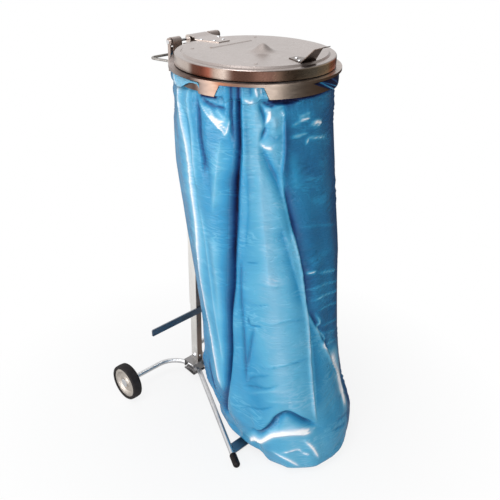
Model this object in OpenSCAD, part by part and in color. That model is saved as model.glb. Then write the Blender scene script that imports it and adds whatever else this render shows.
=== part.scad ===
// Wheeled bin bag holder with a hinged lid, a hinged clamp ring and a hung bag.
// Sizes are in millimetres. The front is towards -Y, the wheels are at the rear.

/* [Clamp ring] */
// Outer radius of the clamp tongues, which the ring, the lid and the hoop follow
tongue_r = 171; // [150:0.5:200]
// How far the ring's flange reaches outside the tongues
ring_rim = 8; // [6:0.5:13]
// Width of the flange
ring_w = 23; // [19:1:33]
// Height of the flange's top face above the floor
ring_z = 934; // [880:1:990]
// Sheet thickness of the clamp ring
ring_t = 1.5; // [1:0.1:2]
// Depth of the flange's turned-down lip
ring_lip = 5.5; // [3:0.5:8]
// How far the tongues reach below the flange's top face
tongue_drop = 31; // [26:1:36]
// Half angle of the front tongue at its top
front_tongue_half = 41; // [25:1:50]
// Half angle of each side tongue at its top
side_tongue_half = 11; // [9:1:13]
// Angle from the middle of the front tongue to the middle of a side tongue
side_tongue_turn = 78.5; // [72:0.5:79]
// Angle by which each tongue's end slants back towards its bottom edge
tongue_slant = 5; // [0:1:7]

/* [Lid] */
// Distance from the flange's edge in to the lid's skirt
lid_inset = 12.5; // [9:0.5:17]
// Height of the lid's skirt
lid_skirt = 21; // [14:1:28]
// Gap between the skirt and the flange
lid_gap = 2; // [1:0.5:4]
// Sheet thickness of the lid
lid_t = 1.2; // [0.8:0.1:1.6]
// Width of the lid's flat border outside the pressed step
lid_border = 13; // [9:1:17]
// Height of the pressed step
lid_step = 3.5; // [2:0.5:5]
// Height of the pressed peak near the lid's middle
peak_h = 16; // [8:1:22]
// Spread of the pressed peak
peak_spread = 17; // [12:1:20]
// How far the peak stands in front of the ring's axis
peak_front = 20; // [10:1:30]
// Length of the pressed bead across the lid
bead_l = 116; // [60:1:140]
// Distance from that bead back to the front end of the hinge plate
bead_gap = 26; // [18:1:38]

/* [Lid grip and hinge] */
// Width of the grip where it folds up
grip_w = 45; // [36:1:56]
// Width of the grip at its lip
grip_lip_w = 25; // [18:1:34]
// Sheet thickness of the grip and of the hinge plate
plate_t = 1.5; // [1:0.1:2]
// Distance from the lid's skirt back to the grip's fold
grip_back = 23.5; // [20:0.5:28]
// How far the grip rises above the lid
grip_rise = 26; // [18:1:32]
// How far the grip's lip reaches forward from its top bend
grip_lip = 18; // [10:1:22]
// Distance from the flange's edge to the hinge pin's axis
hinge_back = 13; // [12:0.5:16]
// Height of the hinge pin's axis above the flange
hinge_up = 22; // [20:0.5:26]
// Radius of the hinge pin
pin_r = 3; // [2:0.1:4]
// Outer radius of the knuckles
knuckle_r = 9; // [7.5:0.5:10]
// Width of each knuckle of the clamp ring
ring_knuckle_w = 25; // [18:1:27]
// Length of pin left free between the ring's knuckles and the lid's
knuckle_free = 32; // [24:1:48]
// Sideways place of the lid's knuckle
lid_knuckle_x = 8; // [0:1:8]
// Length of the hinge plate from the pin to its front end
hinge_plate_l = 94; // [84:1:104]
// Width of the hinge plate at its front end
hinge_tip_w = 32; // [28:1:40]
// Width of the hinge plate where it is widest on the lid
hinge_plate_w = 68; // [64:1:76]
// Radius of the rivets' shanks
rivet_r = 2; // [1.5:0.1:2.5]

/* [Hoop and bag] */
// Height of the base hoop
hoop_h = 24; // [22:1:28]
// Sheet thickness of the base hoop
hoop_t = 2; // [1.5:0.1:3]
// Wall of the bag
film_t = 1.5; // [1:0.1:2]
// How far the bag slumps forward at the floor
bag_slump = 108; // [60:1:120]
// How far the bag leans sideways at the floor
bag_lean = 22; // [0:1:24]
// Depth of the deepest fold in the bag
bag_fold = 16; // [4:1:20]

/* [Head bracket and push handle] */
// Width of the head bracket over its ears
bracket_w = 144; // [142:1:154]
// Thickness of the head bracket
bracket_t = 3; // [2:0.5:4]
// Height of the head bracket's plate
bracket_h = 51; // [44:1:60]
// Radius of the push handle's rod
rod_r = 3; // [2.5:0.1:4]
// How far the push handle reaches behind the post's front face
handle_reach = 76; // [66:1:90]
// Half width of the push handle at its rear bar
handle_half_w = 66; // [54:1:72]
// Half distance between the push handle's arms at the bracket
handle_root = 48; // [36:1:54]
// Height of the push handle below the flange
handle_drop = 26; // [22:1:30]

/* [Post] */
// Width of the post from side to side
post_w = 21; // [20:0.5:26]
// Depth of the post from front to rear
post_d = 29; // [28:0.5:34]
// Wall of the upper post tube
post_wall = 1.2; // [1:0.1:1.6]
// Height of the lower end of the upper post tube
post_joint_z = 250; // [248:1:320]
// How far the lower post tube reaches up into the upper one
post_overlap = 100; // [60:1:140]
// Half length of the cross strip
strip_half = 161; // [120:1:180]
// Height of the cross strip's section
strip_h = 19.5; // [14:0.5:22]
// Thickness of the cross strip
strip_t = 3; // [2:0.5:4]
// Height of the cross strip's lower edge
strip_z = 225; // [200:1:226]

/* [Legs] */
// Outer diameter of the leg tubes
leg_d = 13; // [12:0.5:14]
// Wall of the leg tubes
leg_wall = 1.5; // [1:0.1:2]
// Radius of the leg's bend, to the middle of the tube
leg_bend_r = 73; // [66:1:80]
// Half distance between the legs where they are nearest
leg_half_gap = 11; // [11:0.5:14]
// Angle of each leg to the front
leg_splay = 26; // [22:0.5:28]
// Distance from the axle to the tip of a foot, along the leg's plane
leg_reach = 401; // [380:1:420]
// Distance from the post's front face back to the axle
axle_back = 83; // [78:1:92]
// Width of the flat bar between the legs
floor_bar_w = 28; // [20:1:34]
// Distance from the foot's tip back to the middle of that bar
floor_bar_back = 41; // [36:1:60]
// Outer radius of the foot caps
cap_r = 9; // [8.5:0.25:10]
// Length of the foot caps' sleeves
cap_l = 30; // [20:1:34]

/* [Wheels] */
// Diameter of the wheels
wheel_d = 100; // [90:1:110]
// Width of the tyres
tyre_w = 26; // [24:1:30]
// Distance between the outer faces of the tyres
track_w = 413; // [410:1:430]
// Outer radius of the pressed wheel disc
disc_r = 41.5; // [38:0.5:43]
// Depth of the tyre's seat in the wheel disc
disc_seat = 4.5; // [3:0.5:6]

/* [Hidden] */
$fn = 64;
big_fn = 180;

// Clearances
seat = 0.05;
slide = 0.15;
run = 0.08;
film_gap = 0.3;
eps = 0.01;

// A straight tube enters its bend by the lap, one skin smaller, so that the two join as one
bend_lap = 0.4;
bend_skin = 0.04;

// Heights and places of the ring, lid and hinge
ring_r = tongue_r + ring_rim;
ring_bore_r = ring_r - ring_w;
lid_r = ring_r - lid_inset;
grip_fold = lid_r - grip_back;
ring_under_z = ring_z - ring_t;
lid_z = ring_z + lid_gap + lid_skirt;
lid_flat_z = lid_z + lid_step;
step_r = lid_r - lid_border;
hinge_y = ring_r + hinge_back;
hinge_z = ring_z + hinge_up;
ear_gap = 2;
pin_bore_r = pin_r + run;
ring_knuckle_x = bracket_w / 2 - bracket_t - ear_gap - ring_knuckle_w / 2;
lid_knuckle_w = 2 * ring_knuckle_x - ring_knuckle_w - knuckle_free;
web_y = hinge_y - knuckle_r;
bead_back = hinge_y - hinge_plate_l - bead_gap;

// The film lies between the tongues, the flange and the hoop
hoop_r = tongue_r - ring_t - film_t - 2 * film_gap;
hoop_in_r = hoop_r - hoop_t;
hoop_top_z = ring_under_z - film_t - 2 * film_gap;
hoop_low_z = hoop_top_z - hoop_h;
hoop_arm_h = 8;
hoop_arm_w = 6;
hoop_arm_x = 30;

// The head bracket's plate lies against the post's front face
post_y = hinge_y + bracket_t + 1;
plate_top_z = hinge_z - knuckle_r - 3;
plate_low_z = plate_top_z - bracket_h;
ear_r = knuckle_r - 1;
post_top_z = plate_top_z - 4;
handle_z = ring_z - handle_drop;

// The lower tube is one wall and one clearance smaller all round
lower_inset = post_wall + slide;
lower_y = post_y + lower_inset;
lower_w = post_w - 2 * lower_inset;
lower_d = post_d - 2 * lower_inset;

// Wheels, axle and the tilted plane of the legs
wheel_r = wheel_d / 2;
wheel_x = (track_w - tyre_w) / 2;
leg_r = leg_d / 2;
axle_y = post_y + axle_back;
axle_z = wheel_r;
leg_tilt = asin((axle_z - cap_r) / leg_reach);
bend_x = leg_half_gap + leg_bend_r;
bend_end_x = bend_x - leg_bend_r * cos(leg_splay);
bend_end_y = leg_bend_r * (1 + sin(leg_splay));
foot_x = bend_end_x + (leg_reach - bend_end_y) * tan(leg_splay);
foot_l = (leg_reach - bend_end_y) / cos(leg_splay);
foot_y = axle_y - leg_reach * cos(leg_tilt);
hub_half = tyre_w / 2 - 3.5;
washer_t = 1.5;
washer_r = 10;
bead_w = 3;
axle_end_x = wheel_x + hub_half + washer_t;
floor_bar_t = 3;
leg_plane_z = function(y) axle_z - (axle_y - y) * tan(leg_tilt);

// The saddle under the post
saddle_t = 3;
saddle_w = 60;
saddle_front_y = post_y - 6;
saddle_d = post_d + 12;
saddle_mid_y = saddle_front_y + saddle_d / 2;
saddle_top_z = leg_plane_z(saddle_front_y + saddle_d) + leg_r + 15;
spigot_h = 30;
post_bolt_z = saddle_top_z + 15;
bolt_r = 3;

// Bag: the wall's columns stand closer together where most folds are
front_from = 112;
front_to = 338;
front_n = 76;
rear_n = 20;
bag_angles = concat(
    [for (i = [0:front_n - 1]) front_from + i * (front_to - front_from) / front_n],
    [for (i = [0:rear_n - 1]) (front_to + i * (360 + front_from - front_to) / rear_n) % 360]
);
bag_n = len(bag_angles);
bag_top_z = hoop_low_z - 1;
bag_in_r = hoop_in_r - film_gap;
bag_bend_z = 26;
bag_floor_gap = 1;
bag_over_gap = 4;
// Rows of the wall from just under the hoop down, as parts of the height above the rounding
bag_levels = [
    0.985, 0.955, 0.91, 0.86, 0.8, 0.73, 0.66, 0.58, 0.5,
    0.42, 0.34, 0.27, 0.21, 0.165, 0.13, 0.1, 0.07, 0.035
];
corner_turns = [0, 22, 45, 67, 90];
base_rings = [0.7, 0.35];
// How much wider than the hoop's bore the bag is, at parts of its height
bag_girth = [
    [0, 13], [0.1, 15], [0.2, 10], [0.32, 3], [0.45, 4], [0.6, 8], [0.8, 9], [0.95, 6], [0.985, 2], [1, 0]
];
// Swell of its left and of its right side, at parts of its height
left_at = 145;
left_swell = [
    [0, 9], [0.045, -12], [0.09, -15], [0.13, -11], [0.18, -6], [0.23, -2], [0.3, -1], [0.375, -4],
    [0.465, -3], [0.575, -2], [0.685, 0], [0.795, 4], [0.905, 4], [1, -4]
];
right_at = 308;
right_swell = [
    [0, -13], [0.045, -10], [0.09, -3], [0.13, -8], [0.18, -15], [0.23, -13], [0.3, -7], [0.375, -2],
    [0.465, 2], [0.575, 5], [0.685, 1], [0.795, -3], [0.905, -6], [1, -3]
];
swell_reach = 70;
// Rounding in to the bottom round the bag: angle, height and depth
bag_rounding = [
    [0, 40, 30], [90, 40, 30], [135, 60, 50], [170, 200, 71], [200, 200, 71], [225, 60, 60],
    [250, 35, 40], [280, 35, 40], [300, 60, 95], [320, 60, 80], [345, 50, 40], [360, 40, 30]
];
// Folds: width, share of the fold depth, and the course as angles and parts of the bag's height
bag_folds = [
    [8, -1, [[209, 0.99], [214, 0.91], [210, 0.75], [202, 0.6], [187, 0.31], [178, 0.17], [156, 0.05]]],
    [8, -0.6, [[226, 0.99], [231, 0.93], [229, 0.91]]],
    [10, -0.6, [[229, 0.91], [236, 0.83], [247, 0.68], [251, 0.5]]],
    [8, -0.45, [[244, 0.8], [254, 0.62], [259, 0.38], [258, 0.3]]],
    [8, 0.4, [[243, 0.88], [241, 0.8], [251, 0.64], [255, 0.45], [254, 0.15]]],
    [8, -0.35, [[284, 0.99], [259, 0.97], [246, 0.95], [244, 0.82]]],
    [8, -0.25, [[211, 0.73], [202, 0.47], [188, 0.19]]],
    [8, -0.3, [[201, 0.99], [210, 0.97], [211, 0.82]]],
    [8, 0.3, [[207, 0.92], [200, 0.86], [190, 0.71]]],
    [8, -0.4, [[182, 0.98], [186, 0.85], [185, 0.76]]],
    [8, 0.35, [[152, 0.98], [168, 0.91], [173, 0.8], [172, 0.62], [166, 0.37], [172, 0.27], [156, 0.08]]],
    [8, 0.25, [[179, 0.72], [181, 0.62], [177, 0.4], [174, 0.2], [158, 0.08]]],
    [12, -0.9, [[188, 0.08], [210, 0.15], [239, 0.18], [256, 0.15]]],
    [8, -0.5, [[254, 0.15], [272, 0.1]]],
    [9, 0.6, [[169, 0.01], [194, 0.08], [214, 0.127], [241, 0.13]]],
    [8, 0.25, [[255, 0.48], [265, 0.4], [283, 0.26], [290, 0.16]]],
    [8, -0.3, [[253, 0.48], [271, 0.32], [282, 0.17]]],
    [14, -0.3, [[316, 0.97], [310, 0.1]]],
    [14, -0.45, [[345, 0.97], [338, 0.1]]],
    [16, -0.3, [[20, 0.97], [14, 0.1]]],
    [14, -0.45, [[52, 0.97], [46, 0.1]]],
    [14, -0.3, [[84, 0.97], [78, 0.1]]],
    [14, -0.4, [[112, 0.97], [106, 0.1]]],
    [14, -0.35, [[140, 0.97], [132, 0.1]]]
];

function clamp01(t) = min(1, max(0, t));
function smooth(t) = let(c = clamp01(t)) c * c * (3 - 2 * c);
function turn_gap(a, b) = let(d = (a - b) % 360) d > 180 ? d - 360 : (d < -180 ? d + 360 : d);

// A fold is a soft groove or ridge along its course on the unrolled wall
function unrolled(a, z) = [a * PI * bag_in_r / 180, z];
function step_distance(p, a, b) = let(d = b - a, t = clamp01((p - a) * d / (d * d))) norm(p - a - t * d);
function fold_distance(p, course) = min([
    for (i = [0:len(course) - 2]) step_distance(
        p, unrolled(course[i][0], course[i][1] * bag_top_z),
        unrolled(course[i + 1][0], course[i + 1][1] * bag_top_z)
    )
]);
function sum_folds(p, i) = i == len(bag_folds) ? 0 :
    bag_folds[i][1] * exp(-pow(fold_distance(p, bag_folds[i][2]) / bag_folds[i][0], 2)) + sum_folds(p, i + 1);
function fold_depth(a, z) =
    bag_fold * smooth((bag_top_z - z) / 27) * smooth(z / 30) * sum_folds(unrolled(a, z), 0);

// Bag wall at the height z above its own foot: the axis leans and slumps as z falls
function bag_axis(h) = [bag_lean * (1 - h), -bag_slump * pow(1 - h, 1.8)];
function swell(a, z) =
    lookup(z / bag_top_z, left_swell) * exp(-pow(turn_gap(a, left_at) / swell_reach, 2))
    + lookup(z / bag_top_z, right_swell) * exp(-pow(turn_gap(a, right_at) / swell_reach, 2));
function bag_point(a, z, inward) =
    let(
        h = clamp01((z - bag_bend_z) / (bag_top_z - bag_bend_z)),
        r = bag_in_r + lookup(h, bag_girth) + swell(a, z) + fold_depth(a, z) - inward,
        c = bag_axis(h)
    )
    [c[0] + r * cos(a), c[1] + r * sin(a)];

// The bag's underside: over the legs and feet at the back, on the floor in front
bag_back_y = foot_y - cap_r - 8;
bag_front_y = bag_back_y - 36;
function leg_top_z(y) = max(leg_plane_z(y) + leg_r / cos(leg_tilt), 2 * cap_r);
function bag_floor(y) =
    bag_floor_gap + (leg_top_z(max(y, foot_y)) + bag_over_gap - bag_floor_gap)
    * smooth((y - bag_front_y) / (bag_back_y - bag_front_y));
function on_floor(p, z) = let(low = bag_floor(p[1])) [p[0], p[1], low + z * (bag_top_z - low) / bag_top_z];
function rounding(a, column) = lookup(a, [for (row = bag_rounding) [row[0], row[column]]]);
function bag_wall_row(angles, level, t) = [
    for (a = angles) let(foot = rounding(a, 1), z = foot + level * (bag_top_z - foot))
        on_floor(bag_point(a, z, t), z)
];
function bag_corner_row(angles, turn, t) = [
    for (a = angles)
        let(
            z = t + (rounding(a, 1) - t) * (1 - sin(turn)),
            inward = t + (rounding(a, 2) - t) * (1 - cos(turn))
        )
        on_floor(bag_point(a, z, inward), z)
];
function bag_base_row(angles, share, t) = [
    for (a = angles) let(c = bag_axis(0), q = c + share * (bag_point(a, 0, rounding(a, 2)) - c))
        [q[0], q[1], bag_floor(q[1]) + t]
];
function bag_skin(angles, t) = concat(
    [for (level = bag_levels) bag_wall_row(angles, level, t)],
    [for (turn = corner_turns) bag_corner_row(angles, turn, t)],
    [for (share = base_rings) bag_base_row(angles, share, t)]
);
foremost = [for (a = bag_angles) if (abs(a - 270) < 15) a];
bag_low_y = min([for (row = bag_skin(foremost, 0)) for (p = row) p[1]]);

// The origin is the middle of the underside of the whole holder's box
origin_y = (axle_y + wheel_r + bag_low_y) / 2;

steel = "silver";
dark_steel = "slategray";
rubber = "dimgray";

module placed() {
    translate([0, -origin_y, 0]) children();
}

module both_sides() {
    children();
    mirror([1, 0, 0]) children();
}

// A plate section in the Y-Z plane, drawn out along X and centred on it
module along_x(width) {
    translate([-width / 2, 0, 0]) rotate([90, 0, 90]) linear_extrude(width) children();
}

// A bent strip: a path of points with the sheet on its left side
function unit_normal(a, b) = let(d = b - a) [-d[1], d[0]] / norm(d);
function strip_side(path, t) = [
    for (i = [0:len(path) - 1])
        let(
            last = len(path) - 1,
            n0 = unit_normal(path[max(i - 1, 0)], path[max(i, 1)]),
            n1 = unit_normal(path[min(i, last - 1)], path[min(i + 1, last)])
        )
        path[i] + t * (n0 + n1) / (1 + n0 * n1)
];
module bent_strip(path, t) {
    side = strip_side(path, t);
    polygon(concat(path, [for (i = [len(side) - 1:-1:0]) side[i]]));
}

module rounded_rect(w, d, r) {
    translate([r, 0]) square([w - 2 * r, d]);
    translate([0, r]) square([w, d - 2 * r]);
    for (x = [r, w - r], y = [r, d - r]) translate([x, y]) circle(r);
}

module square_tube(w, d, h, wall) {
    corner = 2.5;
    linear_extrude(h) difference() {
        rounded_rect(w, d, corner);
        translate([wall, wall]) rounded_rect(w - 2 * wall, d - 2 * wall, corner - wall);
    }
}

module domed_rivet(r, grip) {
    head_r = 1.9 * r;
    rotate_extrude() polygon(concat(
        [[0, -grip - 0.8 * r], [1.5 * r, -grip - 0.8 * r], [1.5 * r, -grip], [r, -grip], [r, 0]],
        [for (turn = [0:15:90]) [head_r * cos(turn), r * sin(turn)]]
    ));
}

module annulus(r, bore) {
    difference() {
        circle(r);
        if (bore > 0) circle(bore);
    }
}

module x_cylinder(r, width) {
    translate([-width / 2, 0, 0]) rotate([0, 90, 0]) cylinder(r = r, h = width);
}

// Lid: skirt, rounded edge, flat border, pressed step, peak, bead and four pips
function peak_at(r) = peak_h * exp(-pow(r / peak_spread, 2));
module peak_solid(drop) {
    reach = 2.6 * peak_spread;
    rotate_extrude($fn = big_fn / 2) polygon(concat(
        [[0, -lid_t - drop], [reach, -lid_t - drop]],
        [for (i = [12:-1:0]) [reach * i / 12, peak_at(reach * i / 12) - peak_at(reach) - drop]]
    ));
}
module lid_shell() {
    edge = 3;
    rise = 4;
    profile = concat(
        [[lid_r, lid_z - lid_skirt]],
        [for (turn = [0:22.5:90]) [lid_r - edge + edge * cos(turn), lid_z - edge + edge * sin(turn)]],
        [[step_r, lid_z], [step_r - rise, lid_flat_z], [0, lid_flat_z]]
    );
    inner = concat(
        [[0, lid_flat_z - lid_t], [step_r - rise - lid_t / 2, lid_flat_z - lid_t]],
        [[step_r - lid_t / 2, lid_z - lid_t]],
        [for (turn = [90:-22.5:0]) [
            lid_r - edge + (edge - lid_t) * cos(turn), lid_z - edge + (edge - lid_t) * sin(turn)
        ]],
        [[lid_r - lid_t, lid_z - lid_skirt]]
    );
    rotate_extrude($fn = big_fn) polygon(concat(profile, inner));
}
grip_rivets = [[0, -grip_fold + 31], [-13, -grip_fold + 12], [13, -grip_fold + 12]];
hinge_rivet_front = [hinge_tip_w / 2 - 3, hinge_plate_l - 17];
hinge_rivet_rear = [hinge_plate_w / 2 - 9, hinge_back + lid_inset + lid_border + 10.5];
hinge_plate_x = lid_knuckle_x / 2;
hinge_rivets = [
    for (p = [hinge_rivet_front, hinge_rivet_rear], side = [-1, 1])
        [hinge_plate_x + side * p[0], hinge_y - p[1]]
];
module lid() {
    pip_r = 4.5;
    pip_at = 0.9 * (step_r - 10) / sqrt(2);
    bead_r = 9;
    bead_rise = 1.4;
    color(steel) placed() difference() {
        union() {
            lid_shell();
            translate([0, -peak_front, lid_flat_z]) peak_solid(0);
            for (x = [-pip_at, pip_at], y = [-pip_at, pip_at])
                translate([x, y, lid_flat_z - eps]) cylinder(r1 = pip_r, r2 = pip_r / 2, h = 1.2);
            translate([0, bead_back, lid_flat_z + bead_rise - bead_r]) intersection() {
                x_cylinder(bead_r, bead_l);
                translate([-bead_l / 2, -bead_r, bead_r - bead_rise - lid_t / 2])
                    cube([bead_l, 2 * bead_r, bead_r]);
            }
        }
        translate([0, -peak_front, lid_flat_z]) peak_solid(lid_t);
        for (p = concat(grip_rivets, hinge_rivets))
            translate([p[0], p[1], lid_z - lid_skirt]) cylinder(r = rivet_r + seat, h = 2 * lid_skirt);
    }
}

// Grip: a tapered sheet folded up at 45 degrees, with a thin lip
module lid_grip() {
    foot_l = 42;
    foot_tip_w = 20;
    fold = [-grip_fold, lid_flat_z];
    top = fold + [-0.9 * grip_rise, grip_rise];
    lip = top + [-grip_lip, 0.35 * grip_lip];
    color(steel) placed() difference() {
        intersection() {
            along_x(2 * grip_w) bent_strip([lip, top, fold, fold + [foot_l, 0]], plate_t);
            linear_extrude(2 * ring_z) polygon([
                [-grip_w / 2, fold[0]], [-foot_tip_w / 2, fold[0] + foot_l],
                [foot_tip_w / 2, fold[0] + foot_l], [grip_w / 2, fold[0]], [grip_lip_w / 2, top[0]],
                [grip_lip_w / 2, lip[0] - plate_t], [-grip_lip_w / 2, lip[0] - plate_t],
                [-grip_lip_w / 2, top[0]]
            ]);
        }
        for (p = grip_rivets) translate([p[0], p[1], lid_z]) cylinder(r = rivet_r + seat, h = lid_skirt);
    }
}

module lid_grip_rivets() {
    color(steel) placed() for (p = grip_rivets)
        translate([p[0], p[1], lid_flat_z + plate_t]) domed_rivet(rivet_r, plate_t + lid_t);
}

// Hinge plate: riveted to the lid, stepped up and rolled round the pin
module lid_hinge_plate() {
    front_y = hinge_y - hinge_plate_l;
    wide_y = hinge_y - 0.4 * hinge_plate_l;
    bend_y = hinge_y - 0.26 * hinge_plate_l;
    tip = hinge_tip_w / 2;
    wide = hinge_plate_w / 2;
    top_z = hinge_z + knuckle_r - plate_t;
    half = lid_knuckle_w / 2;
    color(steel) placed() difference() {
        union() {
            intersection() {
                along_x(3 * lid_knuckle_w) bent_strip([
                    [hinge_y, top_z], [hinge_y - 6, top_z], [bend_y, lid_flat_z], [front_y, lid_flat_z]
                ], -plate_t);
                linear_extrude(2 * ring_z) polygon([
                    [hinge_plate_x - tip, front_y], [hinge_plate_x + tip, front_y],
                    [hinge_plate_x + wide, wide_y], [lid_knuckle_x + half, bend_y],
                    [lid_knuckle_x + half, hinge_y], [lid_knuckle_x - half, hinge_y],
                    [lid_knuckle_x - half, bend_y], [hinge_plate_x - wide, wide_y]
                ]);
            }
            translate([lid_knuckle_x, hinge_y, hinge_z]) x_cylinder(knuckle_r, lid_knuckle_w);
        }
        translate([lid_knuckle_x, hinge_y, hinge_z]) x_cylinder(pin_bore_r, 2 * lid_knuckle_w);
        for (p = hinge_rivets) translate([p[0], p[1], lid_z]) cylinder(r = rivet_r + seat, h = lid_skirt);
    }
}

module lid_hinge_rivets() {
    color(steel) placed() for (p = hinge_rivets)
        translate([p[0], p[1], lid_flat_z + plate_t]) domed_rivet(rivet_r, plate_t + lid_t);
}

// Clamp ring: flange with a rear lug, turned-down lip, three tongues and two knuckles
module tongue(turn, half) {
    wide = tongue_r * sin(half);
    narrow = tongue_r * sin(half - tongue_slant);
    rotate([0, 0, turn]) intersection() {
        difference() {
            translate([0, 0, ring_z - tongue_drop])
                cylinder(r = tongue_r, h = tongue_drop - ring_t / 2, $fn = big_fn);
            cylinder(r = tongue_r - ring_t, h = 2 * ring_z, $fn = big_fn);
        }
        rotate([90, 0, 90]) linear_extrude(2 * tongue_r) polygon([
            [-wide, ring_z], [wide, ring_z], [narrow, ring_z - tongue_drop], [-narrow, ring_z - tongue_drop]
        ]);
    }
}
module clamp_ring() {
    lug_x = ring_knuckle_x + ring_knuckle_w / 2;
    lug_y = web_y + ring_t;
    side = ring_r / sqrt(2);
    color(steel) placed() difference() {
        union() {
            translate([0, 0, ring_under_z]) linear_extrude(ring_t) difference() {
                union() {
                    circle(ring_r, $fn = big_fn);
                    polygon([[-side, side], [-lug_x, lug_y], [lug_x, lug_y], [side, side]]);
                }
                circle(ring_bore_r, $fn = big_fn);
            }
            translate([0, 0, ring_z - ring_lip]) rotate([0, 0, 135]) rotate_extrude(angle = 270, $fn = big_fn)
                translate([ring_r - ring_t, 0]) square([ring_t, ring_lip - ring_t / 2]);
            tongue(270, front_tongue_half);
            tongue(270 - side_tongue_turn, side_tongue_half);
            tongue(270 + side_tongue_turn, side_tongue_half);
            both_sides() translate([ring_knuckle_x, 0, 0]) {
                translate([-ring_knuckle_w / 2, web_y, ring_under_z])
                    cube([ring_knuckle_w, ring_t, hinge_z - ring_under_z]);
                translate([0, hinge_y, hinge_z]) x_cylinder(knuckle_r, ring_knuckle_w);
            }
        }
        translate([0, hinge_y, hinge_z]) x_cylinder(pin_bore_r, bracket_w);
    }
}

module hinge_pin() {
    color(dark_steel) placed() translate([0, hinge_y, hinge_z]) {
        x_cylinder(pin_r, bracket_w + 3);
        both_sides() translate([bracket_w / 2 + 1.5, 0, 0]) x_cylinder(1.5 * pin_r, 3 - 2 * seat);
    }
}

// Head bracket: a plate across the post's top with two ears bent forward for the pin
module head_bracket() {
    color(steel) placed() difference() {
        union() {
            translate([-bracket_w / 2, post_y - bracket_t, plate_low_z])
                cube([bracket_w, bracket_t, bracket_h]);
            both_sides() translate([(bracket_w - bracket_t) / 2, 0, 0]) along_x(bracket_t) {
                translate([hinge_y, hinge_z]) circle(ear_r);
                polygon([
                    [hinge_y - ear_r / 2, hinge_z], [post_y, hinge_z],
                    [post_y, plate_top_z - bracket_h / 2], [post_y - bracket_t, plate_top_z - bracket_h / 2],
                    [hinge_y - ear_r / 2, plate_top_z - bracket_h / 3]
                ]);
            }
        }
        translate([0, hinge_y, hinge_z]) x_cylinder(pin_r + seat, 2 * bracket_w);
    }
}

// Base hoop: the band that the bag is folded over, on two arms from the bracket
module base_hoop() {
    bead = 0.6;
    color(steel) placed() {
        translate([0, 0, hoop_low_z]) rotate_extrude($fn = big_fn) polygon([
            [hoop_in_r, 0], [hoop_r, 0], [hoop_r, hoop_h - bead], [hoop_r - bead, hoop_h],
            [hoop_in_r + bead, hoop_h], [hoop_in_r, hoop_h - bead]
        ]);
        both_sides() difference() {
            translate([hoop_arm_x - hoop_arm_w / 2, hoop_in_r / 2, hoop_low_z])
                cube([hoop_arm_w, post_y - bracket_t - hoop_in_r / 2, hoop_arm_h]);
            cylinder(r = (hoop_r + hoop_in_r) / 2, h = 2 * ring_z, $fn = big_fn);
        }
    }
}

// Push handle: a rod bent to a wide U, its arms welded to the bracket's rear face
module push_handle() {
    bend = 12;
    arm_turn = atan((handle_half_w - handle_root) / handle_reach);
    sweep = 90 + arm_turn;
    mid_y = handle_reach - bend;
    mid_x = handle_root + mid_y * tan(arm_turn) - bend / cos(arm_turn);
    end_x = mid_x + bend * cos(arm_turn);
    end_y = mid_y - bend * sin(arm_turn);
    arm_l = end_y / cos(arm_turn);
    rod_lap = bend_lap / 2;
    color(steel) placed() translate([0, post_y, handle_z]) {
        translate([0, handle_reach, 0]) x_cylinder(rod_r - bend_skin, 2 * (mid_x + rod_lap));
        both_sides() {
            translate([-mid_x, mid_y, 0]) rotate([0, 0, 90]) rotate_extrude(angle = sweep)
                translate([bend, 0]) circle(rod_r);
            intersection() {
                translate([-end_x, end_y, 0]) rotate([0, 0, arm_turn]) rotate([90, 0, 0])
                    translate([0, 0, -rod_lap]) cylinder(r = rod_r - bend_skin, h = arm_l + 2 * rod_r);
                translate([-2 * handle_half_w, 0, -2 * rod_r])
                    cube([2 * handle_half_w, 2 * handle_reach, 4 * rod_r]);
            }
        }
    }
}

// The post's two tubes: the upper one slides over the lower one
module side_bolt_hole() {
    translate([0, post_y + post_d / 2, post_bolt_z]) x_cylinder(bolt_r + seat, 2 * post_w);
}
module front_screw_hole() {
    translate([0, lower_y - strip_t, post_bolt_z]) rotate([-90, 0, 0]) cylinder(r = rivet_r + seat, h = 10);
}
module upper_post() {
    color(steel) placed() translate([-post_w / 2, post_y, post_joint_z])
        square_tube(post_w, post_d, post_top_z - post_joint_z, post_wall);
}
module lower_post() {
    color(steel) placed() difference() {
        translate([-lower_w / 2, lower_y, saddle_top_z])
            square_tube(lower_w, lower_d, post_joint_z + post_overlap - saddle_top_z, post_wall);
        side_bolt_hole();
        front_screw_hole();
    }
}

// Cross strip: a flat bar with rounded ends across the lower tube's front face
module cross_strip() {
    corner = 3;
    color(dark_steel) placed() translate([-strip_half, lower_y, strip_z]) rotate([90, 0, 0])
        linear_extrude(strip_t) rounded_rect(2 * strip_half, strip_h, corner);
}

// A through bolt from side to side, its nut, and a short screw in the front face
module hex_nut(r, bore_r, h) {
    linear_extrude(h) difference() {
        circle(r, $fn = 6);
        circle(bore_r);
    }
}
module post_bolt() {
    head_h = 4;
    shank = lower_w + 9;
    color(steel) placed() translate([-lower_w / 2, post_y + post_d / 2, post_bolt_z]) rotate([0, 90, 0]) {
        translate([0, 0, -head_h]) cylinder(r1 = 1.2 * bolt_r, r2 = 2 * bolt_r, h = head_h);
        cylinder(r = bolt_r, h = shank);
    }
}
module post_nut() {
    color(steel) placed() translate([lower_w / 2, post_y + post_d / 2, post_bolt_z]) rotate([0, 90, 0])
        hex_nut(1.9 * bolt_r, bolt_r + seat, 5);
}
module front_screw() {
    color(steel) placed() translate([0, lower_y, post_bolt_z]) rotate([90, 0, 0])
        domed_rivet(rivet_r, spigot_inset + post_wall);
}

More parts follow.
